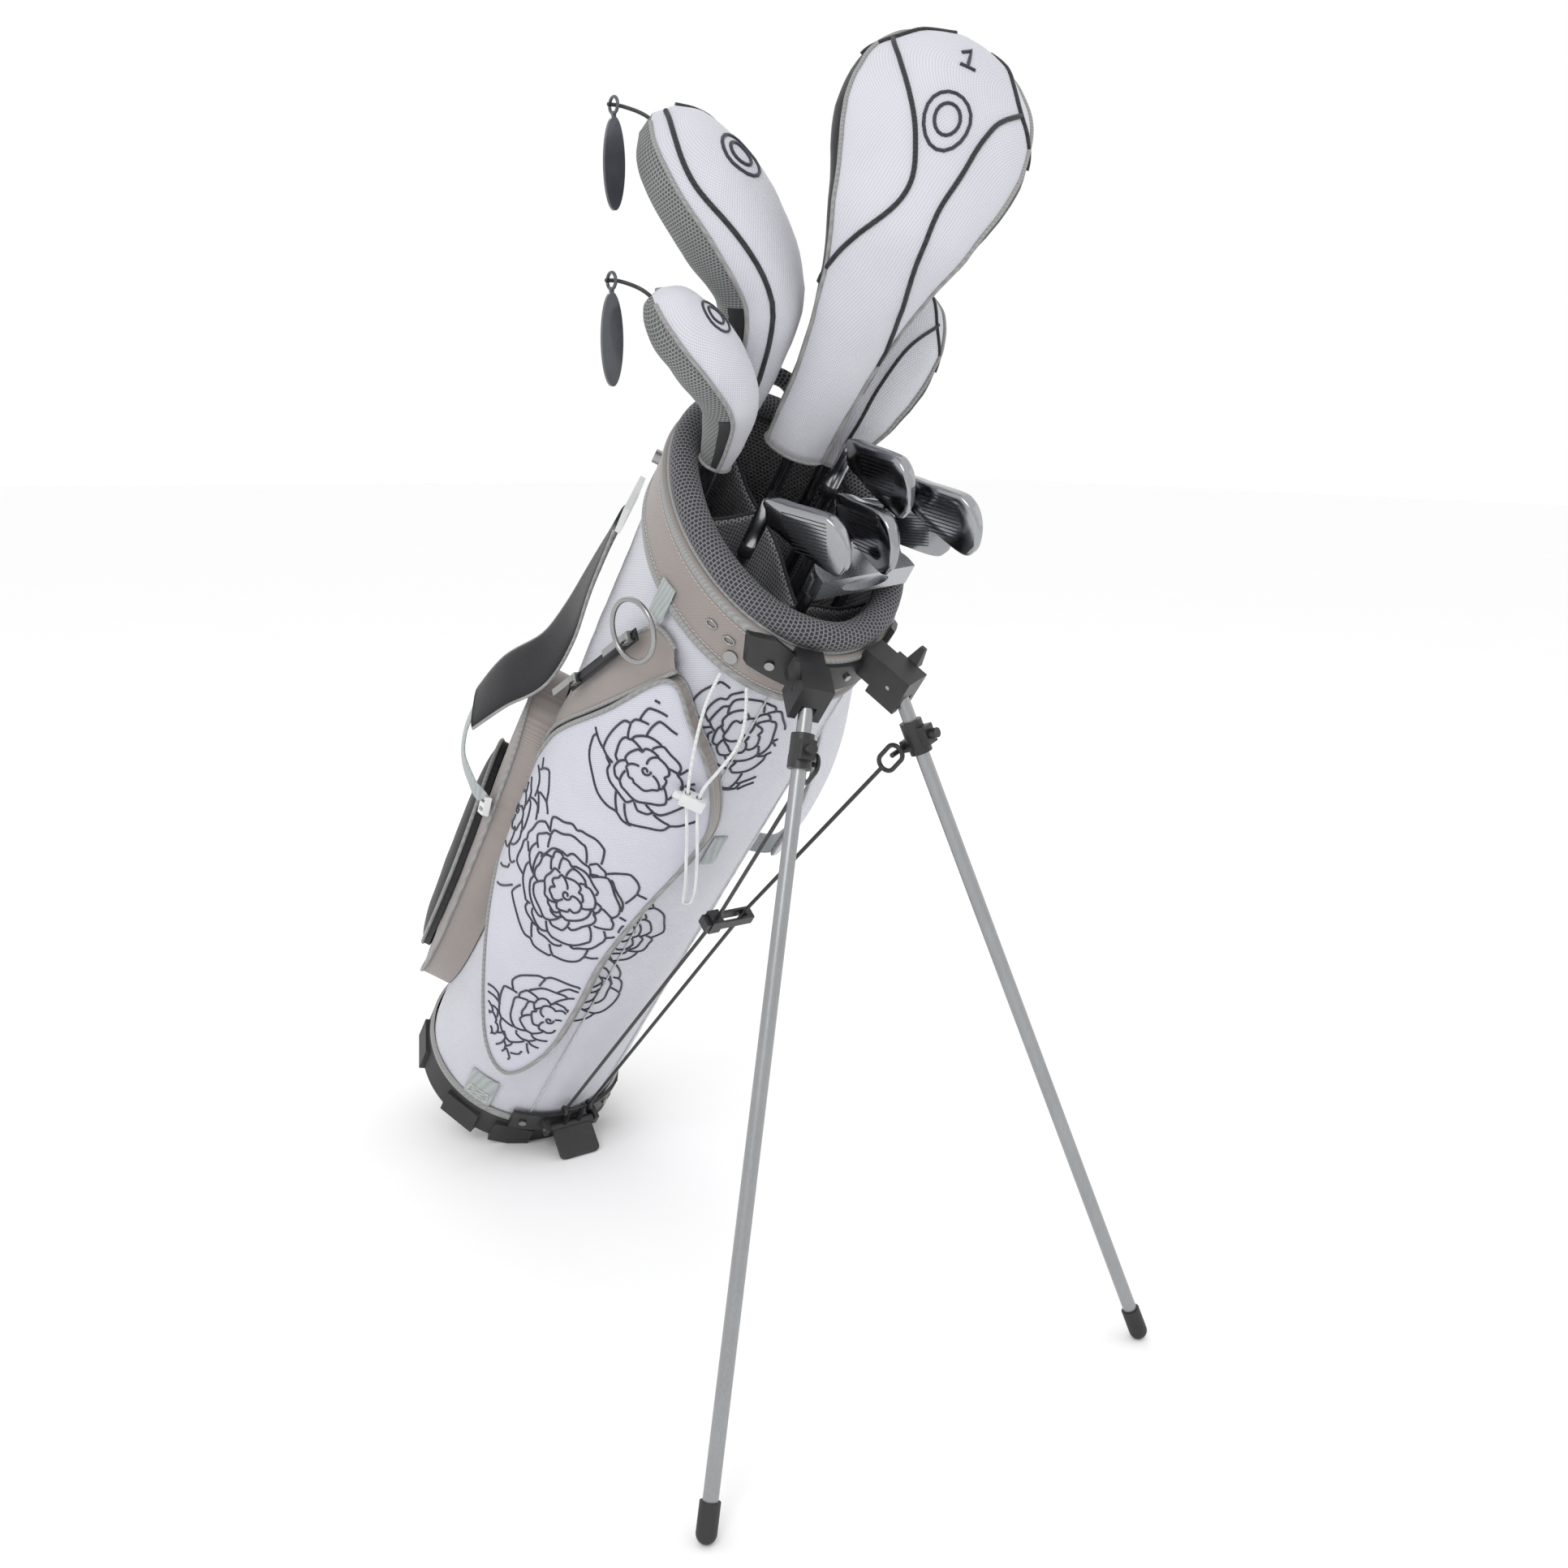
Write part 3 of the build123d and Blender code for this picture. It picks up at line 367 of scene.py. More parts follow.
def sheet_piece(name, body, rows, mats, closed_u=False, **more):
    if closed_u:
        rows = [list(row) + [row[0]] for row in rows]
    points, faces = grid(rows)
    return mesh_piece(name, body, points, faces, row_uvs(rows), mats, **more)


def tube(name, kind, lines, radius, mat, roundness):
    """A round curve of some radius in millimetres through points of the bag's frame."""
    data = bpy.data.curves.new(name, "CURVE")
    data.dimensions = "3D"
    data.bevel_depth = radius / 1000
    data.bevel_resolution = roundness
    data.use_fill_caps = True
    for points in lines:
        spline = data.splines.new(kind)
        spline.points.add(len(points) - 1)
        for target, p in zip(spline.points, points):
            target.co = (*world(p), 1)
    data.materials.append(mat)
    return data


def line_piece(name, body, lines, radius, mat, closed=False):
    """Piping, stitches or printed lines: smooth round lines through points of the bag's frame."""
    data = tube(name, "POLY", lines, radius, mat, 2)
    for spline in data.splines:
        spline.use_cyclic_u = closed
        spline.use_smooth = True
    return placed(name, data, body)


def piping(name, body, loops, radius, mat):
    """Closed rounds of piping or wire."""
    line_piece(name, body, loops, radius, mat, closed=True)


def smooth_loop(points, steps=8, closed=True):
    """Points on a rounded curve through the given ones."""
    count = len(points)
    out = []
    spans = count if closed else count - 1
    for i in range(spans):
        near = [(i + k) % count if closed else min(max(i + k, 0), count - 1) for k in (-1, 0, 1, 2)]
        p0, p1, p2, p3 = [Vector(points[k]) for k in near]
        for s in range(steps):
            t = s / steps
            out.append(0.5 * (2 * p1 + (p2 - p0) * t + (2 * p0 - 5 * p1 + 4 * p2 - p3) * t * t
                              + (3 * p1 - p0 - 3 * p2 + p3) * t ** 3))
    if not closed:
        out.append(Vector(points[-1]))
    return out


def surface_of(*objs):
    """A lookup that finds where a ray from outside first meets these pieces; works in the bag's frame."""
    points, faces = [], []
    for obj in objs:
        start = len(points)
        points += [obj.matrix_world @ v.co for v in obj.data.vertices]
        faces += [tuple(start + i for i in poly.vertices) for poly in obj.data.polygons]
    return BVHTree.FromPolygons(points, faces)


def local(p):
    d = (Vector(p) - BASE) * 1000
    c, s = math.cos(LEAN), math.sin(LEAN)
    return Vector((d.x, d.y * c + d.z * s, -d.y * s + d.z * c))


def laid_on(tree, angle, outline, lift=0.3):
    """Drops a line of (w, z) points onto a surface, along one direction of the bag."""
    c, s = heading(angle)
    out = []
    for w, z in outline:
        start = Vector((-w * s + 260 * c, w * c + 260 * s, z))
        hit = tree.ray_cast(world(start), turned((-c, -s, 0)), 0.4)
        if hit[0] is not None:
            out.append(local(hit[0]) + Vector((c, s, 0)) * lift)
    return out


def turns(count, closing=0):
    """Equal steps round a full circle; with closing=1 the last one is back at the start."""
    return [2 * math.pi * k / count for k in range(count + closing)]


def wrinkle(p, size, seed=0.0):
    return noise.noise(Vector(p) / size + Vector((seed, seed * 0.7, 0)))


# ------------------------------------------------------------ bag body, collar and mouth


def bag_shell():
    rows = []
    for j in range(121):
        row = []
        for angle in ROUND:
            top = slant(SHELL_TOP, angle)
            z = 5 + (top - 5) * j / 120
            fold = wrinkle((angle * 1.6, 0, z * 0.55 + angle), 46, 2.0)
            fold += 0.5 * wrinkle((angle, z, 3), 17, 5.0)
            pull = 0.8 * math.exp(-((z - 70) / 60) ** 2) * math.sin(math.radians(angle * 7) + z / 60)
            row.append(on_bag(angle, z, -1.2 + 0.9 * fold + 0.6 * pull))
        rows.append(row)
    outer = sheet_piece("bag_shell", "bag", rows, [WHITE], closed_u=True, slot="bag_fabric")
    rows = [[on_bag(a, 6 + (slant(SHELL_TOP, a) - 6) * j / 30, -3.6) for a in ROUND] for j in range(31)]
    sheet_piece("bag_lining", "bag", rows, [BLACK], closed_u=True, slot="divider_mesh")
    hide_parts("bag_body")
    seams = []
    for angle in (-66, -113, -24, 60):
        seams.append([on_bag(angle, z, 0.2) for z in range(44, 780, 8) if z < slant(770, angle)])
    line_piece("body_seams", "bag", seams, 0.7, THREAD)
    return outer


def band(low_of, high_of, off, mat, name, bulge=0.6, steps=8):
    """A band of fabric round the bag between two slanted heights."""
    rows = []
    for j in range(steps + 1):
        t = j / steps
        row = []
        for angle in ROUND:
            low, high = low_of(angle), high_of(angle)
            z = low + (high - low) * t
            out = off + bulge * math.sin(math.pi * t) + 0.35 * wrinkle((angle, z, 0), 22, 9.0)
            row.append(on_bag(angle, z, out))
        rows.append(row)
    edge = [on_bag(angle, high_of(angle), -0.2) for angle in ROUND]
    foot = [on_bag(angle, low_of(angle), -0.2) for angle in ROUND]
    return sheet_piece(name, "bag", [foot] + rows + [edge], [mat], closed_u=True, slot="collar_satin")


def collar():
    main = band(lambda a: slant(773, a), lambda a: slant(SHELL_TOP, a), 2.6, TAUPE, "collar_panel")
    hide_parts("collar_band")
    for name, z in (("collar_binding_low", 774), ("collar_binding_high", 821)):
        band(lambda a: slant(z - 3.5, a), lambda a: slant(z + 3.5, a), 3.3, PIPE, name, bulge=1.0, steps=4)
    stitches = []
    for z in (779.5, 815.5):
        for angle in ROUND:
            stitches.append([on_bag(angle + d, slant(z, angle), 3.6) for d in (0, 0.7, 1.4)])
    line_piece("collar_stitches", "bag", stitches, 0.35, THREAD)
    rings = []
    for angle, z in ((-148, 800), (-139, 800)):
        centre = on_bag(angle, slant(z, angle), 4.2)
        side = (on_bag(angle + 1, centre.z, 4.2) - on_bag(angle - 1, centre.z, 4.2)).normalized()
        rings.append([centre + side * 5 * math.cos(t) + Vector((0, 0, 3 * math.sin(t))) for t in turns(16)])
    piping("collar_eyelets", "bag", rings, 0.9, STEEL)


def rim_point(t, radius_in, height):
    """A point round the padded cuff: t along the rim, then outward and upward from the roll's centre line."""
    tilt = math.atan(TILT)
    hx, hy = MOUTH_HALF_X - CUFF_INSET, (MOUTH_HALF_Y - CUFF_INSET) / math.cos(tilt)
    dx, dy = math.cos(t), math.sin(t)
    normal = Vector((dx / hx, dy / hy, 0)).normalized()
    flat = Vector((hx * dx, hy * dy, 0)) + normal * radius_in
    return Vector((flat.x, flat.y * math.cos(tilt) - height * math.sin(tilt),
                   BAG_TOP + 6 + flat.y * math.sin(tilt) + height * math.cos(tilt)))


def cuff():
    rows = []
    for t in turns(240, 1):
        swell = 0.5 * math.sin(t * 9) + 0.8 * wrinkle((math.cos(t) * 90, math.sin(t) * 110, 0), 30, 4.0)
        row = []
        for s in turns(24, 1):
            r = 12.2 + swell * 0.5 + 0.3 * math.sin(3 * s)
            row.append(rim_point(t, r * math.cos(s), r * math.sin(s)))
        rows.append(row)
    roll = sheet_piece("cuff_roll", "bag", rows, [SEAT], slot="cuff_mesh")
    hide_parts("cuff_rim")
    for name, across, up, radius, mat in (("cuff_piping", 9.6, -7.2, 2.0, PIPE),
                                          ("cuff_inner_piping", -12.2, -1, 1.3, PIPE_BLACK)):
        piping(name, "bag", [[rim_point(t, across, up) for t in turns(160)]], radius, mat)


def dividers():
    """Padded cross walls with piping along their sagging top edges."""
    walls = [((-96, 27), (96, 27)), ((-84, -64), (84, -64)), ((-3, -112), (-3, 112))]
    sewn_edges = []
    for number, (start, end) in enumerate(walls):
        along = Vector((end[0] - start[0], end[1] - start[1], 0)).normalized()
        side = Vector((-along.y, along.x, 0))
        rows = []
        top_line = []
        for i in range(61):
            t = i / 60
            x = start[0] + (end[0] - start[0]) * t
            y = start[1] + (end[1] - start[1]) * t
            top = 812 + y * TILT - 7 * math.sin(math.pi * t * 2) ** 2 - 2
            a, b = half_axes(800, -4)
            if (x / a) ** 2 + (y / b) ** 2 > 0.995:
                continue
            puff = 3.6 + 0.5 * math.sin(i * 0.9)
            row = [Vector((x, y, z)) + side * puff for z in range(int(top) - 110, int(top) - 4, 10)]
            for k in range(9):
                s = math.pi * k / 8
                row.append(Vector((x, y, top - 4 + 4 * math.sin(s))) + side * puff * math.cos(s))
            row += [Vector((x, y, z)) - side * puff for z in range(int(top) - 4, int(top) - 110, -10)]
            rows.append(row[:32])
            top_line.append(Vector((x, y, top + 0.3)))
        shortest = min(len(r) for r in rows)
        rows = [r[:shortest] for r in rows]
        wall = sheet_piece("divider_wall_%d" % number, "bag", rows, [LINER], slot="divider_mesh")
        if number == 0:
            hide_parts("club_dividers")
        sewn_edges.append(top_line)
    line_piece("divider_piping", "bag", sewn_edges, 1.5, PIPE_BLACK)
    rows = [[on_bag(angle, slant(700 + j * 12, angle), -5.2) for angle in ROUND] for j in range(11)]
    sheet_piece("mouth_liner", "bag", rows, [LINER], closed_u=True, slot="divider_mesh")


def handle():
    """The padded grab loop behind the mouth."""
    angle = 78
    half = [(37, 812), (36, 846), (33, 868), (20, 880)]
    corners = [(-w, z, 0) for w, z in half] + [(0, 882, 0)] + [(w, z, 0) for w, z in reversed(half)]
    arch = smooth_loop(corners, closed=False)
    rows = []
    for index, middle in enumerate(arch):
        before, after = arch[max(index - 1, 0)], arch[min(index + 1, len(arch) - 1)]
        along = Vector((after.x - before.x, after.y - before.y)).normalized()
        side = Vector((-along.y, along.x))
        row = []
        for s in turns(16, 1):
            reach = 8.6 * math.cos(s)
            lift = 8.3 + 4.2 * math.sin(s)
            row.append(seen_from(angle, middle.x + side.x * reach, middle.y + side.y * reach, lift))
        rows.append(row)
    grab = sheet_piece("grab_handle", "bag", rows, [SEAT], slot="black_pad")
    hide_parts("back_handle")


# ------------------------------------------------------------ pockets


POCKET_ANGLE = -154.0
POCKET_OUTLINE = [
    (12, 716), (46, 690), (78, 645), (95, 585), (92, 530), (79, 448), (69, 360), (68, 272), (62, 190),
    (38, 134), (5, 156), (-33, 237), (-70, 328), (-91, 400), (-92, 470), (-83, 531), (-68, 572), (-30, 640),
]
YOKE_TOP = [(2, 740), (-14, 744), (-28, 736), (-50, 694), (-72, 640), (-84, 594), (-93, 540), (-97, 486)]
YOKE_FOOT = [(14, 728), (-8, 690), (-29, 652), (-48, 618), (-67, 584), (-84, 548), (-90, 520), (-95, 486)]
BACK_ANGLE = 134.0
BACK_OUTLINE = [
    (-48, 516), (0, 556), (44, 520), (58, 420), (60, 260),
    (48, 150), (14, 90), (-34, 112), (-58, 220), (-62, 400),
]
PAD_OUTLINE = [
    (-38, 380), (-6, 446), (28, 412), (43, 320), (38, 214), (20, 142), (-6, 118), (-28, 176), (-44, 284),
]


def panel(name, angle, outline, base, wall, crown, mats, slot, centre=None, replace=None,
          rumple=0.8):
    """A sewn pocket panel: side walls up to a piped edge, then a crowned face."""
    loop = [(p.x, p.y) for p in smooth_loop([(w, z, 0) for w, z in outline], steps=10)]
    if centre is None:
        centre = (sum(p[0] for p in loop) / len(loop), sum(p[1] for p in loop) / len(loop))
    rings = 16
    rows = []
    for off in (base, base + (wall - base) * 0.5, wall):
        rows.append([seen_from(angle, w, z, off) for w, z in loop])
    for k in range(1, rings + 1):
        share = 1 - (k / rings) ** 1.15
        row = []
        for w, z in loop:
            pw, pz = centre[0] + (w - centre[0]) * share, centre[1] + (z - centre[1]) * share
            rise = crown * (1 - share ** 6) + rumple * (1 - share ** 8) * wrinkle((pw, pz, 0), 34, angle)
            row.append(seen_from(angle, pw, pz, wall + rise))
        rows.append(row)
    wide = len(loop)
    points, faces = grid(rows, closed_u=True)
    c, s = heading(angle)
    uvs = [((-p.x * s + p.y * c) / 1000, p.z / 1000) for p in points]
    kinds = [0 if index < 2 * wide else 1 for index in range(len(faces))]
    obj = mesh_piece(name, "bag", points, faces, uvs, mats, kinds, slot)
    if replace:
        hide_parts(replace)
    edge = [seen_from(angle, w, z, wall + 0.6) for w, z in loop]
    foot = [seen_from(angle, w, z, base + 1.2) for w, z in loop]
    return obj, edge, foot


def runs(points, keep):
    """The stretches of a line whose points are kept."""
    out = [[]]
    for p in points:
        if keep(p):
            out[-1].append(p)
        else:
            out.append([])
    return out


def flower(centre, radius, rings, seed, squash=1.0):
    """A full-blown rose in open lines; each petal is hidden where the ones nearer the heart lie over it."""
    rng = random.Random(seed)
    lines = []
    covered = [radius * 0.05] * 180

    def place(turn, r):
        return (centre[0] + r * math.cos(turn), centre[1] + squash * r * math.sin(turn))

    def shown(p):
        return p[1] > covered[int(math.degrees(p[0]) / 2) % 180] + radius * 0.012

    def add(points):
        lines.extend([place(*p) for p in run] for run in runs(points, shown))

    lines.append([place(k * 0.45, radius * (0.02 + 0.004 * k)) for k in range(16)])
    for ring in range(rings):
        outer = radius * (0.14 + 0.86 * ((ring + 1) / rings) ** 1.1)
        count = 3 + ring // 2
        twist = rng.random() * 2 * math.pi
        for petal in range(count):
            start = twist + 2 * math.pi * (petal + 0.25 * rng.random()) / count
            width = 2 * math.pi / count * (1.15 + 0.35 * rng.random())
            bulge = outer * (0.88 + 0.22 * rng.random())
            ruffles = rng.choice((2, 3, 4))
            phase = rng.random() * 6
            dent = 0.3 + 0.4 * rng.random()
            edge = []
            for k in range(61):
                u = k / 60
                lift = min(1.0, 1.9 * math.sin(math.pi * u)) ** 0.7
                r = bulge * (0.35 + 0.65 * lift)
                r += radius * 0.014 * math.sin(ruffles * 2 * math.pi * u + phase) * lift
                r -= radius * 0.05 * math.exp(-((u - dent) / 0.04) ** 2)
                edge.append((start + width * u, r))
            add(edge)
            if ring:
                sway = rng.choice((-0.05, 0.05))
                add([(start + width * dent + sway * q, bulge * (0.93 - 0.05 * q)) for q in range(8)])
            for turn, r in edge:
                spot = int(math.degrees(turn) / 2) % 180
                covered[spot] = max(covered[spot], r)
    return [run for run in lines if len(run) > 2]


def inside(point, outline, shrink=1.0):
    cx = sum(p[0] for p in outline) / len(outline)
    cy = sum(p[1] for p in outline) / len(outline)
    w, z = cx + (point[0] - cx) / shrink, cy + (point[1] - cy) / shrink
    hit = False
    for (w1, z1), (w2, z2) in zip(outline, outline[1:] + outline[:1]):
        if (z1 > z) != (z2 > z) and w < (w2 - w1) * (z - z1) / (z2 - z1) + w1:
            hit = not hit
    return hit


def clipped(lines, keep):
    """Cuts lines where they leave the allowed region."""
    return [run for line in lines for run in runs(line, keep) if len(run) > 2]


def line_art(name, tree, angle, lines, lift, radius):
    """Prints lines on a surface, laid down along one direction of the bag."""
    laid = [laid_on(tree, angle, line, lift) for line in lines]
    line_piece(name, "bag", [line for line in laid if len(line) > 2], radius, INK)


def leaf_pocket():
    """The leaf-shaped pocket with its printed roses; a later rose lies behind the earlier ones."""
    leaf, edge, foot = panel("leaf_pocket", POCKET_ANGLE, POCKET_OUTLINE, 0.4, 11.5, 4.4, [TAUPE, PRINT],
                             "pocket_leather", centre=(2, 430), replace="side_pocket")
    piping("leaf_piping", "bag", [edge], 2.1, PIPE)
    piping("leaf_foot_piping", "bag", [foot], 1.2, PIPE)
    places = [((14, 430), 70, 6, 3, 1.2), ((30, 622), 62, 4, 11, 1.05), ((-82, 440), 46, 4, 7, 1.9),
              ((52, 250), 52, 4, 33, 1.25), ((-6, 190), 44, 4, 12, 1.3)]
    drawn = []
    for number, (centre, radius, rings, seed, squash) in enumerate(places):
        lines = flower(centre, radius, rings, seed, squash)
        earlier = places[:number]

        def free(p):
            clear = all(((p[0] - c[0]) / r) ** 2 + ((p[1] - c[1]) / (r * q)) ** 2 > 1.06
                        for c, r, _, _, q in earlier)
            return clear and inside(p, POCKET_OUTLINE, 0.93)

        drawn += clipped(lines, free)
    line_art("leaf_line_art", surface_of(leaf), POCKET_ANGLE, drawn, 0.15, 1.2)


def body_roses(shell):
    """The roses printed on the bag beside the leaf pocket."""
    drawn = []
    for rose in (((16, 690), 52, 5, 14, 1.4), ((0, 400), 40, 4, 22, 1.3), ((-14, 300), 48, 4, 29, 1.3)):
        drawn += clipped(flower(*rose), lambda p: -62 < p[0] < 44 + (p[1] - 400) * 0.01 and 205 < p[1] < 738)
    line_art("body_line_art", surface_of(shell), -118, drawn, 0.25, 1.1)


def back_pocket():
    """The large pocket on the back with the padded hip panel on it."""
    _, edge, _ = panel("back_pocket_shell", BACK_ANGLE, BACK_OUTLINE, 0.4, 31.5, 2.0, [TAUPE, TAUPE],
                       "taupe_fabric", replace="back_pocket")
    piping("back_pocket_piping", "bag", [edge], 2.0, PIPE)
    _, edge, _ = panel("hip_cushion", BACK_ANGLE, PAD_OUTLINE, 34.6, 42, 9.0, [BLACK, BLACK],
                       "black_pad", replace="hip_pad", rumple=0.5)
    piping("hip_piping", "bag", [edge], 2.0, PIPE)
    smaller = [(w * 0.98, 320 + (z - 320) * 0.985) for w, z in BACK_OUTLINE]
    panel("pocket_back_wall", BACK_ANGLE, smaller, 0.5, 1.2, 0.2, [BLACK, BLACK], "taupe_fabric")


def yoke():
    """The panel above the leaf pocket, which hangs a little open over it."""
    upper, lower = [smooth_loop([(w, z, 0) for w, z in line], closed=False) for line in (YOKE_TOP, YOKE_FOOT)]
    rows = []
    for k in range(13):
        t = k / 12
        row = []
        for a, b in zip(upper, lower):
            w, z = a.x + (b.x - a.x) * t, a.y + (b.y - a.y) * t
            off = 3.5 + 7.0 * t ** 0.6 + 0.7 * wrinkle((w, z, 1), 26, 6.0)
            row.append(seen_from(POCKET_ANGLE, w, z, off))
        rows.append(row)
    under = [seen_from(POCKET_ANGLE, p.x, p.y, 1.0) for p in lower]
    top = [seen_from(POCKET_ANGLE, p.x, p.y, 1.0) for p in upper]
    cloth_panel = sheet_piece("yoke_panel", "bag", [top] + rows + [under], [TAUPE], slot="bag_fabric")
    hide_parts("pocket_yoke")
    line_piece("yoke_binding", "bag", [rows[-1], rows[0]], 1.9, PIPE)


# ------------------------------------------------------------ straps


def strap(name, centre, normals, width, thick, mats, slot, replace=None, pad=True):
    """A padded or plain strap swept along its middle line; gives back its two edges."""
    path, facing = smooth_loop(centre, closed=False), smooth_loop(normals, closed=False)
    around = 24
    rows = []
    edges = ([], [])
    for index, (p, n) in enumerate(zip(path, facing)):
        along = (path[min(index + 1, len(path) - 1)] - path[max(index - 1, 0)]).normalized()
        side = along.cross(n).normalized()
        out = side.cross(along).normalized()
        row = []
        for s in turns(around, 1):
            across = math.copysign(abs(math.cos(s)) ** 0.6, math.cos(s)) * width / 2
            up = math.copysign(abs(math.sin(s)) ** 0.75, math.sin(s)) * thick / 2
            if pad:
                up *= 1 + 0.1 * wrinkle(p, 20, 3.0)
            row.append(p + side * across + out * up)
        rows.append(row)
        edges[0].append(p + side * width / 2)
        edges[1].append(p - side * width / 2)
    kinds = ([0] * (around // 2) + [1] * (around // 2)) * (len(rows) - 1)
    points, faces = grid(rows)
    caps = [tuple(range(around)), tuple(len(points) - 1 - k for k in range(around))]
    obj = mesh_piece(name, "bag", points, faces + caps, row_uvs(rows), mats, kinds + [0, 0], slot)
    if replace:
        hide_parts(replace)
    return edges


def straps():
    near = [on_bag(136, 752, 15), on_bag(139, 690, 20), on_bag(142, 634, 23),
            (-117, 84, 592), (-133, 102, 548), (-146, 114, 500)]
    facing = [(-0.75, 0.66, 0), (-0.86, 0.5, 0), (-0.94, 0.3, 0.1),
              (-0.97, 0.15, 0.2), (-0.95, 0.2, 0.2), (-0.85, 0.4, 0.2)]
    edges = strap("near_strap_pad", near, facing, 52, 7, [BLACK, LINER], "black_pad", replace="strap_near")
    line_piece("near_strap_binding", "bag", list(edges), 1.5, PIPE)
    loop = [(-146, 115, 502), (-151, 110, 476), (-152, 98, 452), (-146, 78, 434), (-138, 63, 425)]
    strap("near_strap_webbing", loop, [(-0.8, 0.5, 0.3)] * 5, 22, 2.6, [WEBBING, WEBBING], "webbing",
          pad=False)
    far = [(148, -10, 646), (156, -22, 600), (166, -34, 540), (170, -40, 480), (166, -42, 425)]
    edges = strap("far_strap_pad", far, [(0.55, -0.83, 0)] * 5, 70, 10, [WHITE, LINER], "black_pad",
                  replace="strap_far")
    line_piece("far_strap_binding", "bag", list(edges), 1.6, PIPE)
    loop = [(96, 82, 752), (122, 38, 712), (146, 0, 664), (150, -12, 640)]
    strap("far_strap_webbing", loop, [(1, 0.4, 0)] * 4, 30, 3, [WEBBING, WEBBING], "webbing", pad=False)
    loop = [(165, -41, 430), (160, -34, 408), (142, -14, 396), (122, 6, 398), (108, 22, 410)]
    strap("far_strap_tail", loop, [(0.8, -0.5, -0.4)] * 5, 24, 2.6, [WEBBING, WEBBING], "webbing", pad=False)


def tabs():
    """The ring's loop, the pull tab over the base with its cross stitch, and the small tongue."""
    first = None
    for name, angle, low, high, half, off in (("ring_tab", -169, 748, 784, 9, 5.2),
                                              ("base_tab", -146, 46, 92, 17, 1.8),
                                              ("pocket_tongue", -96, 520, 560, 7, 1.6)):
        rows = []
        for j in range(9):
            z = low + (high - low) * j / 8
            rows.append([seen_from(angle, half * (i / 4 - 1), z, off + 0.2 * math.sin(j)) for i in range(9)])
        rim = [[seen_from(angle, half * (i / 4 - 1), z, off - 1.4) for i in range(9)] for z in (low, high)]
        obj = sheet_piece(name, "bag", [rim[0]] + rows + [rim[1]], [WEBBING], slot="webbing")
        if first is None:
            first = obj
            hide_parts("webbing_tabs")
    stitches = []
    for w1, z1, w2, z2 in ((-12, 52, 12, 66), (-12, 66, 12, 52), (-12, 52, 12, 52),
                           (-12, 66, 12, 66), (-12, 52, -12, 66), (12, 52, 12, 66)):
        steps = (0, 0.25, 0.5, 0.75, 1)
        stitches.append([seen_from(-146, w1 + (w2 - w1) * t, z1 + (z2 - z1) * t, 2.5) for t in steps])
    line_piece("tab_stitches", "bag", stitches, 0.6, THREAD)
    profile = ((38, 0.6), (38.5, 3.2), (44, 3.4), (46, 0.4))
    rows = [[on_bag(angle, z, off) for angle in ROUND] for z, off in profile]
    sheet_piece("base_binding", "bag", rows, [PIPE], closed_u=True, slot="webbing")


# ------------------------------------------------------------ clubs and covers


# where the shaft crosses the mouth (x, y), where its butt stands (x, y), length, direction of the toe
CLUBS = {
    "driver": (16, 46, 15, 45, 1108, 54),
    "fairway": (-30, 83, -27, 62, 1002, 127),
    "hybrid": (-58, 44, -55, 40, 936, 151),
    "rescue": (58, 48, 56, 43, 926, 43),
    "sand_wedge": (-51, -25, -51, -24, 866, -76),
    "nine_iron": (18, -27, 16, -26, 871, -96),
    "pitching_wedge": (50, -14, 48, -14, 852, -48),
    "eight_iron": (36, 8, 34, 8, 898, -92),
    "seven_iron": (54, -47, 52, -46, 906, -84),
    "putter": (-22, -82, -20, -76, 847, 6),
}
# size, width and height factors, start of the sleeve, sideways lean of the head
WOOD_SHAPES = {
    "driver": (1.0, 1.0, 0.97, -250, 0),
    "fairway": (1.08, 0.58, 0.78, -133, -8),
    "hybrid": (0.71, 0.66, 0.90, -92, 10),
    "rescue": (0.77, 0.8, 1.12, -79, 0),
}
# one section per row: place towards the toe and upwards, tilt in degrees, half width, half thickness
COVER_SECTIONS = [
    (0, -250, 0, 26, 17), (0, -170, 0, 30, 19), (4, -100, 12, 42, 26), (16, -46, 30, 60, 33),
    (50, -6, 52, 76, 38), (88, 22, 58, 74, 37), (116, 40, 60, 54, 30), (132, 50, 60, 22, 16),
]


def club_axes(name):
    mouth_x, mouth_y, butt_x, butt_y, length, toe = CLUBS[name]
    butt = Vector((butt_x, butt_y, 12.0))
    up = (Vector((mouth_x, mouth_y, BAG_TOP)) - butt).normalized()
    out = Vector((*heading(toe), 0))
    out = (out - up * out.dot(up)).normalized()
    return butt, out, up.cross(out), up, length


def club_point(name, p):
    butt, x, y, z, length = club_axes(name)
    return butt + x * p[0] + y * p[1] + z * (length + p[2])


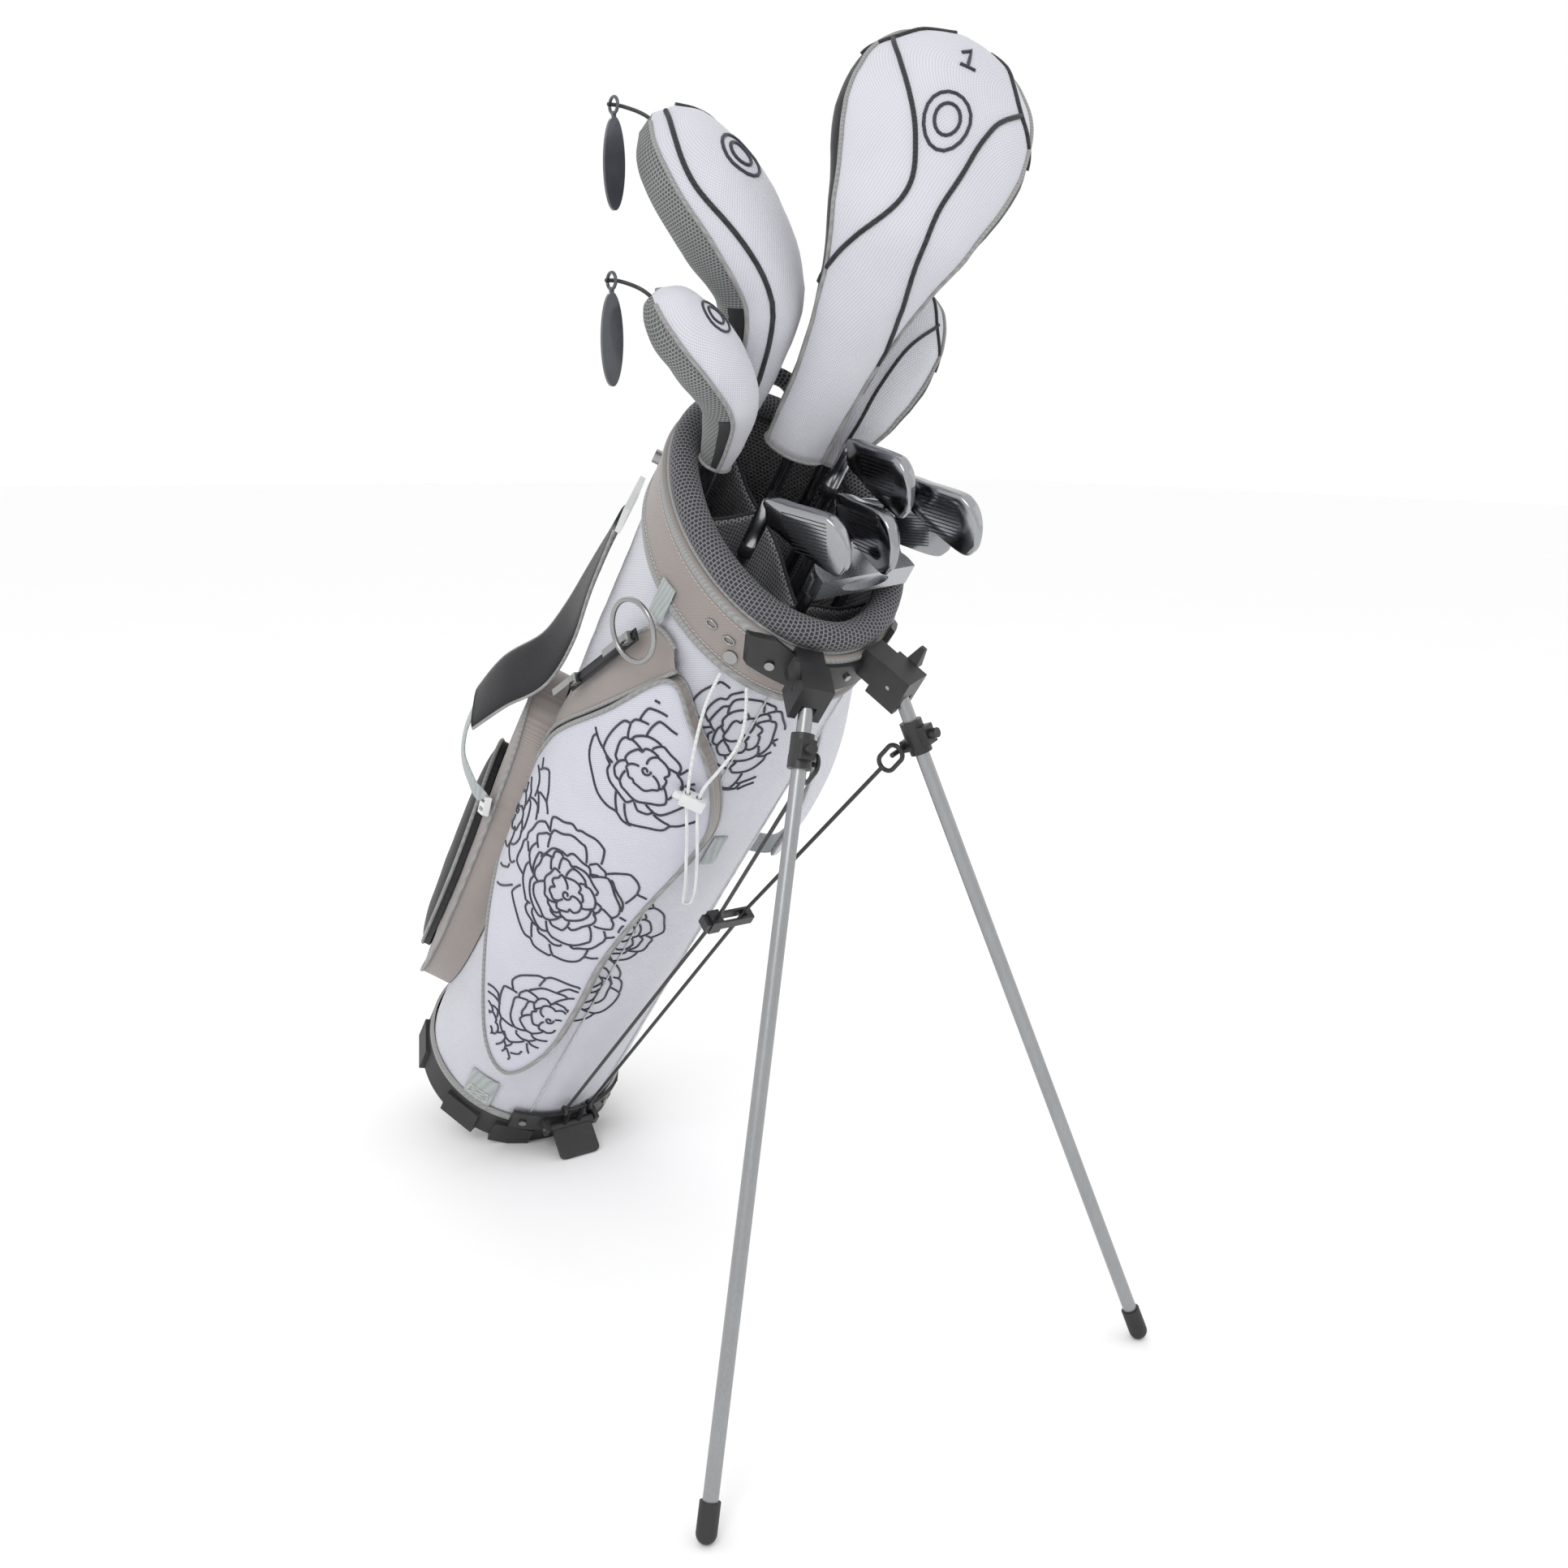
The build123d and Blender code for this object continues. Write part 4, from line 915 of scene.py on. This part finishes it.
def cover_rows(name, around):
    """Sections of one cover in the club's frame, smoothed along its length."""
    along = 7
    size, wide, tall, start, lean = WOOD_SHAPES[name]
    sections = [row for row in COVER_SECTIONS if row[1] * size * tall > start + 20]
    raw = [(0, start / (size * tall), 0, 26, 18)] + sections
    fine = smooth_loop([row[:3] for row in raw], steps=along, closed=False)
    sizes = smooth_loop([(row[3], row[4], 0) for row in raw], steps=along, closed=False)
    rows = []
    for place, extent in zip(fine, sizes):
        c, s = heading(place.z)
        thick_dir = Vector((c, 0, -s))
        middle = Vector((place.x * size, lean * max(0, min(1, place.x / 16)), place.y * size * tall))
        row = []
        for turn in turns(around):
            row.append(middle + Vector((0, 1, 0)) * extent.x * size * wide * math.sin(turn)
                       + thick_dir * extent.y * size * math.cos(turn))
        rows.append(row)
    last = rows[-1]
    centre = sum(last, Vector()) / len(last)
    c, s = heading(60)
    outward = Vector((s, 0, c)) * size * 5
    for share in (0.75, 0.4, 0.02):
        push = outward * (1 - share)
        rows.append([centre + (p - centre) * share + push for p in last])
    return rows


# points of each stripe: share of the cover's length, degrees off the white panel's middle
STRIPES = {
    "driver": [
        [(1.0, -27), (0.9, -42), (0.8, -56), (0.74, -84)],
        [(0.79, -57), (0.7, -38), (0.55, -14), (0.45, -10), (0.34, -46), (0.26, -84)],
        [(0.97, 46), (0.85, 42), (0.72, 47), (0.64, 84)],
        [(0.72, 48), (0.64, 28), (0.52, 20), (0.42, 18), (0.3, 34), (0.12, 84)],
    ],
    "fairway": [
        [(1.0, -34), (0.85, -54), (0.65, -66), (0.4, -52), (0.1, -48)],
        [(1.0, 24), (0.85, 44), (0.65, 58), (0.4, 50), (0.1, 40)],
    ],
    "hybrid": [],
    "rescue": [
        [(1.0, 30), (0.8, 36), (0.62, 50), (0.5, 84)],
        [(0.68, 48), (0.5, 24), (0.3, 16), (0.1, 20)],
        [(1.0, -30), (0.7, -50), (0.5, -30), (0.1, -30)],
    ],
}


# share of the cover's length, half height along it, half width in degrees
EMBLEMS = {
    "driver": (0.60, 0.06, 13),
    "fairway": (0.66, 0.07, 20),
    "hybrid": (0.66, 0.08, 20),
    "rescue": (0.66, 0.06, 14),
}


def cover(name):
    """A fitted cover: white face panel, mesh gusset, dark edge, piping, stripes and a plain ring mark."""
    size = WOOD_SHAPES[name][0]
    around = 64
    place_rows = []
    for row in cover_rows(name, around):
        centre = sum(row, Vector()) / around
        line = []
        for p in row:
            push = wrinkle(p, 34 * size, 7.0) * 1.4 + 0.6 * wrinkle(p, 13, 2.0)
            d = p - centre
            line.append(club_point(name, p + d.normalized() * push if d.length > 1 else p))
        place_rows.append(line)
    count = len(place_rows)
    rounded = name in ("driver", "rescue")
    face = 68 if rounded else 84
    points, faces = grid(place_rows, closed_u=True)
    kinds = []
    for j in range(count - 1):
        for i in range(around):
            from_face = abs(math.degrees((i + 0.5) / around * 2 * math.pi) - 180)
            dark_edge = 100 if rounded else (112 if j < count * 0.3 else 84)
            if from_face < face:
                kinds.append(0)
            elif from_face < dark_edge and j < count * 0.8:
                kinds.append(2)
            else:
                kinds.append(1)
    obj = mesh_piece(name + "_sock", name, points, faces, row_uvs(place_rows), [COVER, GUSSET, BLACK],
                     kinds, "cover_fabric")
    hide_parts(name + "_cover")
    mod = obj.modifiers.new("thickness", "SOLIDIFY")
    mod.thickness = 0.0018
    mod.offset = -1

    def skin(t, degrees, lift=0.5):
        """A point on the cover: t from sleeve to toe end, degrees off the white panel's middle."""
        at = max(0.0, min(count - 4.001, t * (count - 4)))
        k = ((180 + degrees) / 360 * around) % around
        row, spot = int(at), int(k) % around
        beside = (spot + 1) % around
        near = place_rows[row][spot].lerp(place_rows[row][beside], k - int(k))
        far = place_rows[row + 1][spot].lerp(place_rows[row + 1][beside], k - int(k))
        centre = sum(place_rows[row], Vector()) / around
        p = near.lerp(far, at - row)
        return p + (p - centre).normalized() * lift

    edges = [[skin(k / 70, side, 0.6) for k in range(71)] for side in (-face, face)]
    line_piece(name + "_edge_piping", name, edges, 1.8, PIPE)
    for number, corners in enumerate(STRIPES[name]):
        middle = smooth_loop([(t, a, 0) for t, a in corners], steps=10, closed=False)
        stripe = [skin(p.x, p.y, 0.35) for p in middle]
        line_piece(name + "_stripe_%d" % number, name, [stripe], 2.0 * max(size, 0.75), PIPE_BLACK)
    hem = [skin(0, k * 360 / 48, 0.2) for k in range(48)]
    piping(name + "_mouth_hem", name, [hem], 1.6, PIPE)
    level, high, wide_mark = EMBLEMS[name]
    marks = [[skin(level + high * share * math.cos(k * 0.35), wide_mark * share * math.sin(k * 0.35), 0.3)
              for k in range(19)] for share in (1, 0.55)]
    if name == "driver":
        marks.append([skin(0.80, -4), skin(0.82, 1), skin(0.83, 2), skin(0.79, 2), skin(0.75, 2)])
        marks.append([skin(0.75, -3), skin(0.75, 7)])
    line_piece(name + "_emblem", name, marks, 1.4 * max(size, 0.8), INK)


def tag_hook(name):
    """The black wire at a cover's toe end; the tag's ring hangs on its level end."""
    size, _, tall, _, lean = WOOD_SHAPES[name]
    root = club_point(name, (124 * size, lean, 44 * size * tall))
    bend = club_point(name, (132 * size + 33, 0, 50 * size * tall - 4)) + Vector((8, 0, 0))
    middle = root.lerp(bend, 0.5) + Vector((0, 0, 3))
    end = bend - Vector((13, 0, 0))
    wire = smooth_loop([root, middle, bend, end], steps=6, closed=False)
    line_piece(name + "_tag_hook", name, [wire], 1.5, WIRE)


def covers():
    for name in WOOD_SHAPES:
        cover(name)
    for name in ("fairway", "hybrid"):
        tag_hook(name)


LIE_ANGLE = 62
HEAD_HEIGHT = 55


def iron(name):
    """A bladed head: flat face with dark lines as painted shade for its grooves, rounded edges, a hollowed
    back and a round hosel.
    """
    butt, ax, ay, az, length = club_axes(name)
    tip = math.radians(90 - LIE_ANGLE)
    along, out = ax * math.cos(tip) + az * math.sin(tip), az * math.cos(tip) - ax * math.sin(tip)

    def place(x, y, z):
        return butt + az * length + along * x + ay * y + out * z

    def front(z):
        """Where the lofted face lies, forward of the shaft's axis."""
        return -8 + 13 * (1 - z) / HEAD_HEIGHT

    outline = [(-3, -1), (24, 0), (56, -0.5), (67, -4), (75, -12), (79, -24),
               (78, -37), (73, -45), (63, -49.5), (36, -40.5), (10, -28.5), (-3, -21)]
    loop = [(p.x, p.z) for p in smooth_loop([(x, 0, z) for x, z in outline], steps=6)]
    cx, cz = 40, -23
    rows = []
    face_side = ((0.02, 0, 0), (0.5, 0, 0), (0.93, 0, 0), (0.975, 0, 0.06), (0.995, 0, 0.2), (1, 0, 0.34))
    back_side = ((1, 1, 0.34), (0.995, 1, 0.2), (0.975, 1, 0.06), (0.94, 1, 0), (0.82, 1, 0),
                 (0.77, 1, 0.4), (0.4, 1, 0.5), (0.02, 1, 0.5))
    for share, side, inward in face_side + back_side:
        row = []
        for x, z in loop:
            px, pz = cx + (x - cx) * share, cz + (z - cz) * share
            thick = 14 - 10 * (1 - pz) / HEAD_HEIGHT
            depth = inward if side == 0 else 1 - inward
            row.append(place(px, front(pz) + thick * depth, pz))
        rows.append(row)
    points, faces = grid(rows, closed_u=True)
    kinds = [0] * len(faces)
    hosel = []
    for z, r in ((-60, 5.3), (-59.5, 6.3), (-47, 6.4), (-46.8, 6.2), (-30, 6.4), (-12, 6.5), (-8, 6.4),
                 (-4, 5.2), (-2, 2.5), (-1.6, 0.2)):
        middle = butt + az * (length + z)
        hosel.append([middle + ax * r * math.cos(turn) + ay * r * math.sin(turn) for turn in turns(32)])
    more, rings = grid(hosel, closed_u=True)
    faces += [tuple(len(points) + i for i in ring) for ring in rings]
    kinds += [1 if index < 64 else 0 for index in range(len(rings))]
    obj = mesh_piece(name + "_blade", name, points + more, faces, None, [DARK_CHROME, PLASTIC], kinds,
                     "head_metal")
    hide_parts(name + "_head")
    # The grooves are dark lines laid on the flat face: painted shade standing in for their hollows.
    groove_shade_lines = []
    for k in range(11):
        z = -7 - 3.1 * k
        reach = 62 - 0.3 * k
        groove_shade_lines.append([place(x, front(z) + 0.1, z) for x in (16 + 0.9 * k, 30, 45, reach)])
    line_piece(name + "_grooves", name, groove_shade_lines, 0.45, GROOVE_SHADE)


def clubs():
    for name in CLUBS:
        dress(name + "_shaft", CHROME)
    for name in ("sand_wedge", "nine_iron", "pitching_wedge", "eight_iron", "seven_iron"):
        iron(name)
    dress("putter_head", SATIN)
    for name in WOOD_SHAPES:
        dress(name + "_head", HEAD_PAINT)


# ------------------------------------------------------------ drawstring


CORD_ROUTE = [
    (-77, -88, 748), (-84, -94, 728), (-86, -103, 700), (-83, -110, 668), (-78, -116, 638),
    (-72, -121, 612), (-62, -127, 582), (-52, -129, 552), (-43, -133, 524), (-37, -135, 503),
    (-34, -136, 488), (-26, -138, 488), (-28, -138, 503), (-34, -137, 524), (-43, -134, 552),
    (-54, -132, 582), (-64, -127, 612), (-70, -123, 638), (-66, -127, 668), (-59, -128, 702),
    (-60, -119, 730), (-61, -106, 748),
]


def drawstring():
    data = tube("elastic_cord", "NURBS", [CORD_ROUTE], 1.5, CORD, 4)
    data.resolution_u = 12
    data.splines[0].order_u = 3
    data.splines[0].use_endpoint_u = True
    obj = placed("elastic_cord", data, "bag")
    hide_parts("drawstring")


# ------------------------------------------------------------ hard parts


def hard_parts():
    for word in ("left", "right"):
        dress("leg_tube_" + word, ALUMINIUM)
        dress("leg_foot_" + word, RUBBER)
        dress("leg_clamp_" + word, PLASTIC)
        dress("linkage_rod_" + word, WIRE)
    for mat, nodes in ((PLASTIC, ("stand_bracket", "base_bracket", "pedal_plate", "bridge_clip")),
                       (STEEL, ("hinge_pins", "rivets_and_snaps", "o_ring")),
                       (STEEL, ("zipper_pull_upper", "zipper_pull_lower")),
                       (WHITE_PLASTIC, ("strap_buckles", "cord_toggle")),
                       (RUBBER, ("base_cup",)),
                       (BLACK, ("pocket_zipper",)),
                       (TAG, ("fairway_tag", "hybrid_tag"))):
        for node in nodes:
            dress(node, mat)


# ------------------------------------------------------------ stage, lights, camera


def stage():
    floor = Nodes("floor_paper")
    tone = floor.noise(floor.coords("Object"), 3.0, 2.0)
    floor.link(floor.mix(tone, (0.975, 0.975, 0.975), (0.985, 0.985, 0.985)), floor.bsdf.inputs["Base Color"])
    floor.set(Roughness=0.9, Specular_IOR_Level=0.1)
    bpy.ops.mesh.primitive_plane_add(size=40, location=(0, 0, 0))
    ground = bpy.context.object
    ground.name = "floor"
    ground.data.materials.append(floor.mat)
    sky = bpy.data.worlds.new("soft_sky")
    sky.use_nodes = True
    sky.node_tree.nodes["Background"].inputs["Color"].default_value = (1, 1, 1, 1)
    sky.node_tree.nodes["Background"].inputs["Strength"].default_value = 1.0
    bpy.context.scene.world = sky
    for name, place, size, power in (("key", (-2.4, -2.0, 3.0), 1.4, 34), ("fill", (2.8, -1.4, 1.6), 2.2, 4),
                                     ("rim", (0.6, 2.6, 2.6), 1.6, 10)):
        data = bpy.data.lights.new(name, "AREA")
        data.size = size
        data.energy = power
        lamp = bpy.data.objects.new(name, data)
        lamp.location = place
        lamp.rotation_euler = (Vector((0, 0, 0.5)) - Vector(place)).to_track_quat("-Z", "Y").to_euler()
        bpy.context.collection.objects.link(lamp)
    bpy.context.scene.view_settings.view_transform = "Standard"


def camera():
    data = bpy.data.cameras.new("camera")
    data.lens = 36.15
    data.sensor_width = 36.0
    cam = bpy.data.objects.new("camera", data)
    bpy.context.collection.objects.link(cam)
    eye = Vector((-0.7870, -1.5818, 0.7895)) + Vector((BASE.x, BASE.y, -0.00015))
    a, e, roll = math.radians(-36.5), math.radians(12.6), math.radians(0.9)
    back = Vector((math.sin(a) * math.cos(e), -math.cos(a) * math.cos(e), math.sin(e)))
    right = Vector((math.cos(a), math.sin(a), 0))
    up = back.cross(right)
    r2 = right * math.cos(roll) + up * math.sin(roll)
    u2 = up * math.cos(roll) - right * math.sin(roll)
    turn = Matrix((r2, u2, back)).transposed()
    cam.matrix_world = Matrix.Translation(eye) @ turn.to_4x4()
    bpy.context.scene.camera = cam


camera()
stage()
drawstring()
shell = bag_shell()
collar()
cuff()
dividers()
handle()
leaf_pocket()
body_roses(shell)
yoke()
back_pocket()
straps()
tabs()
covers()
clubs()
hard_parts()
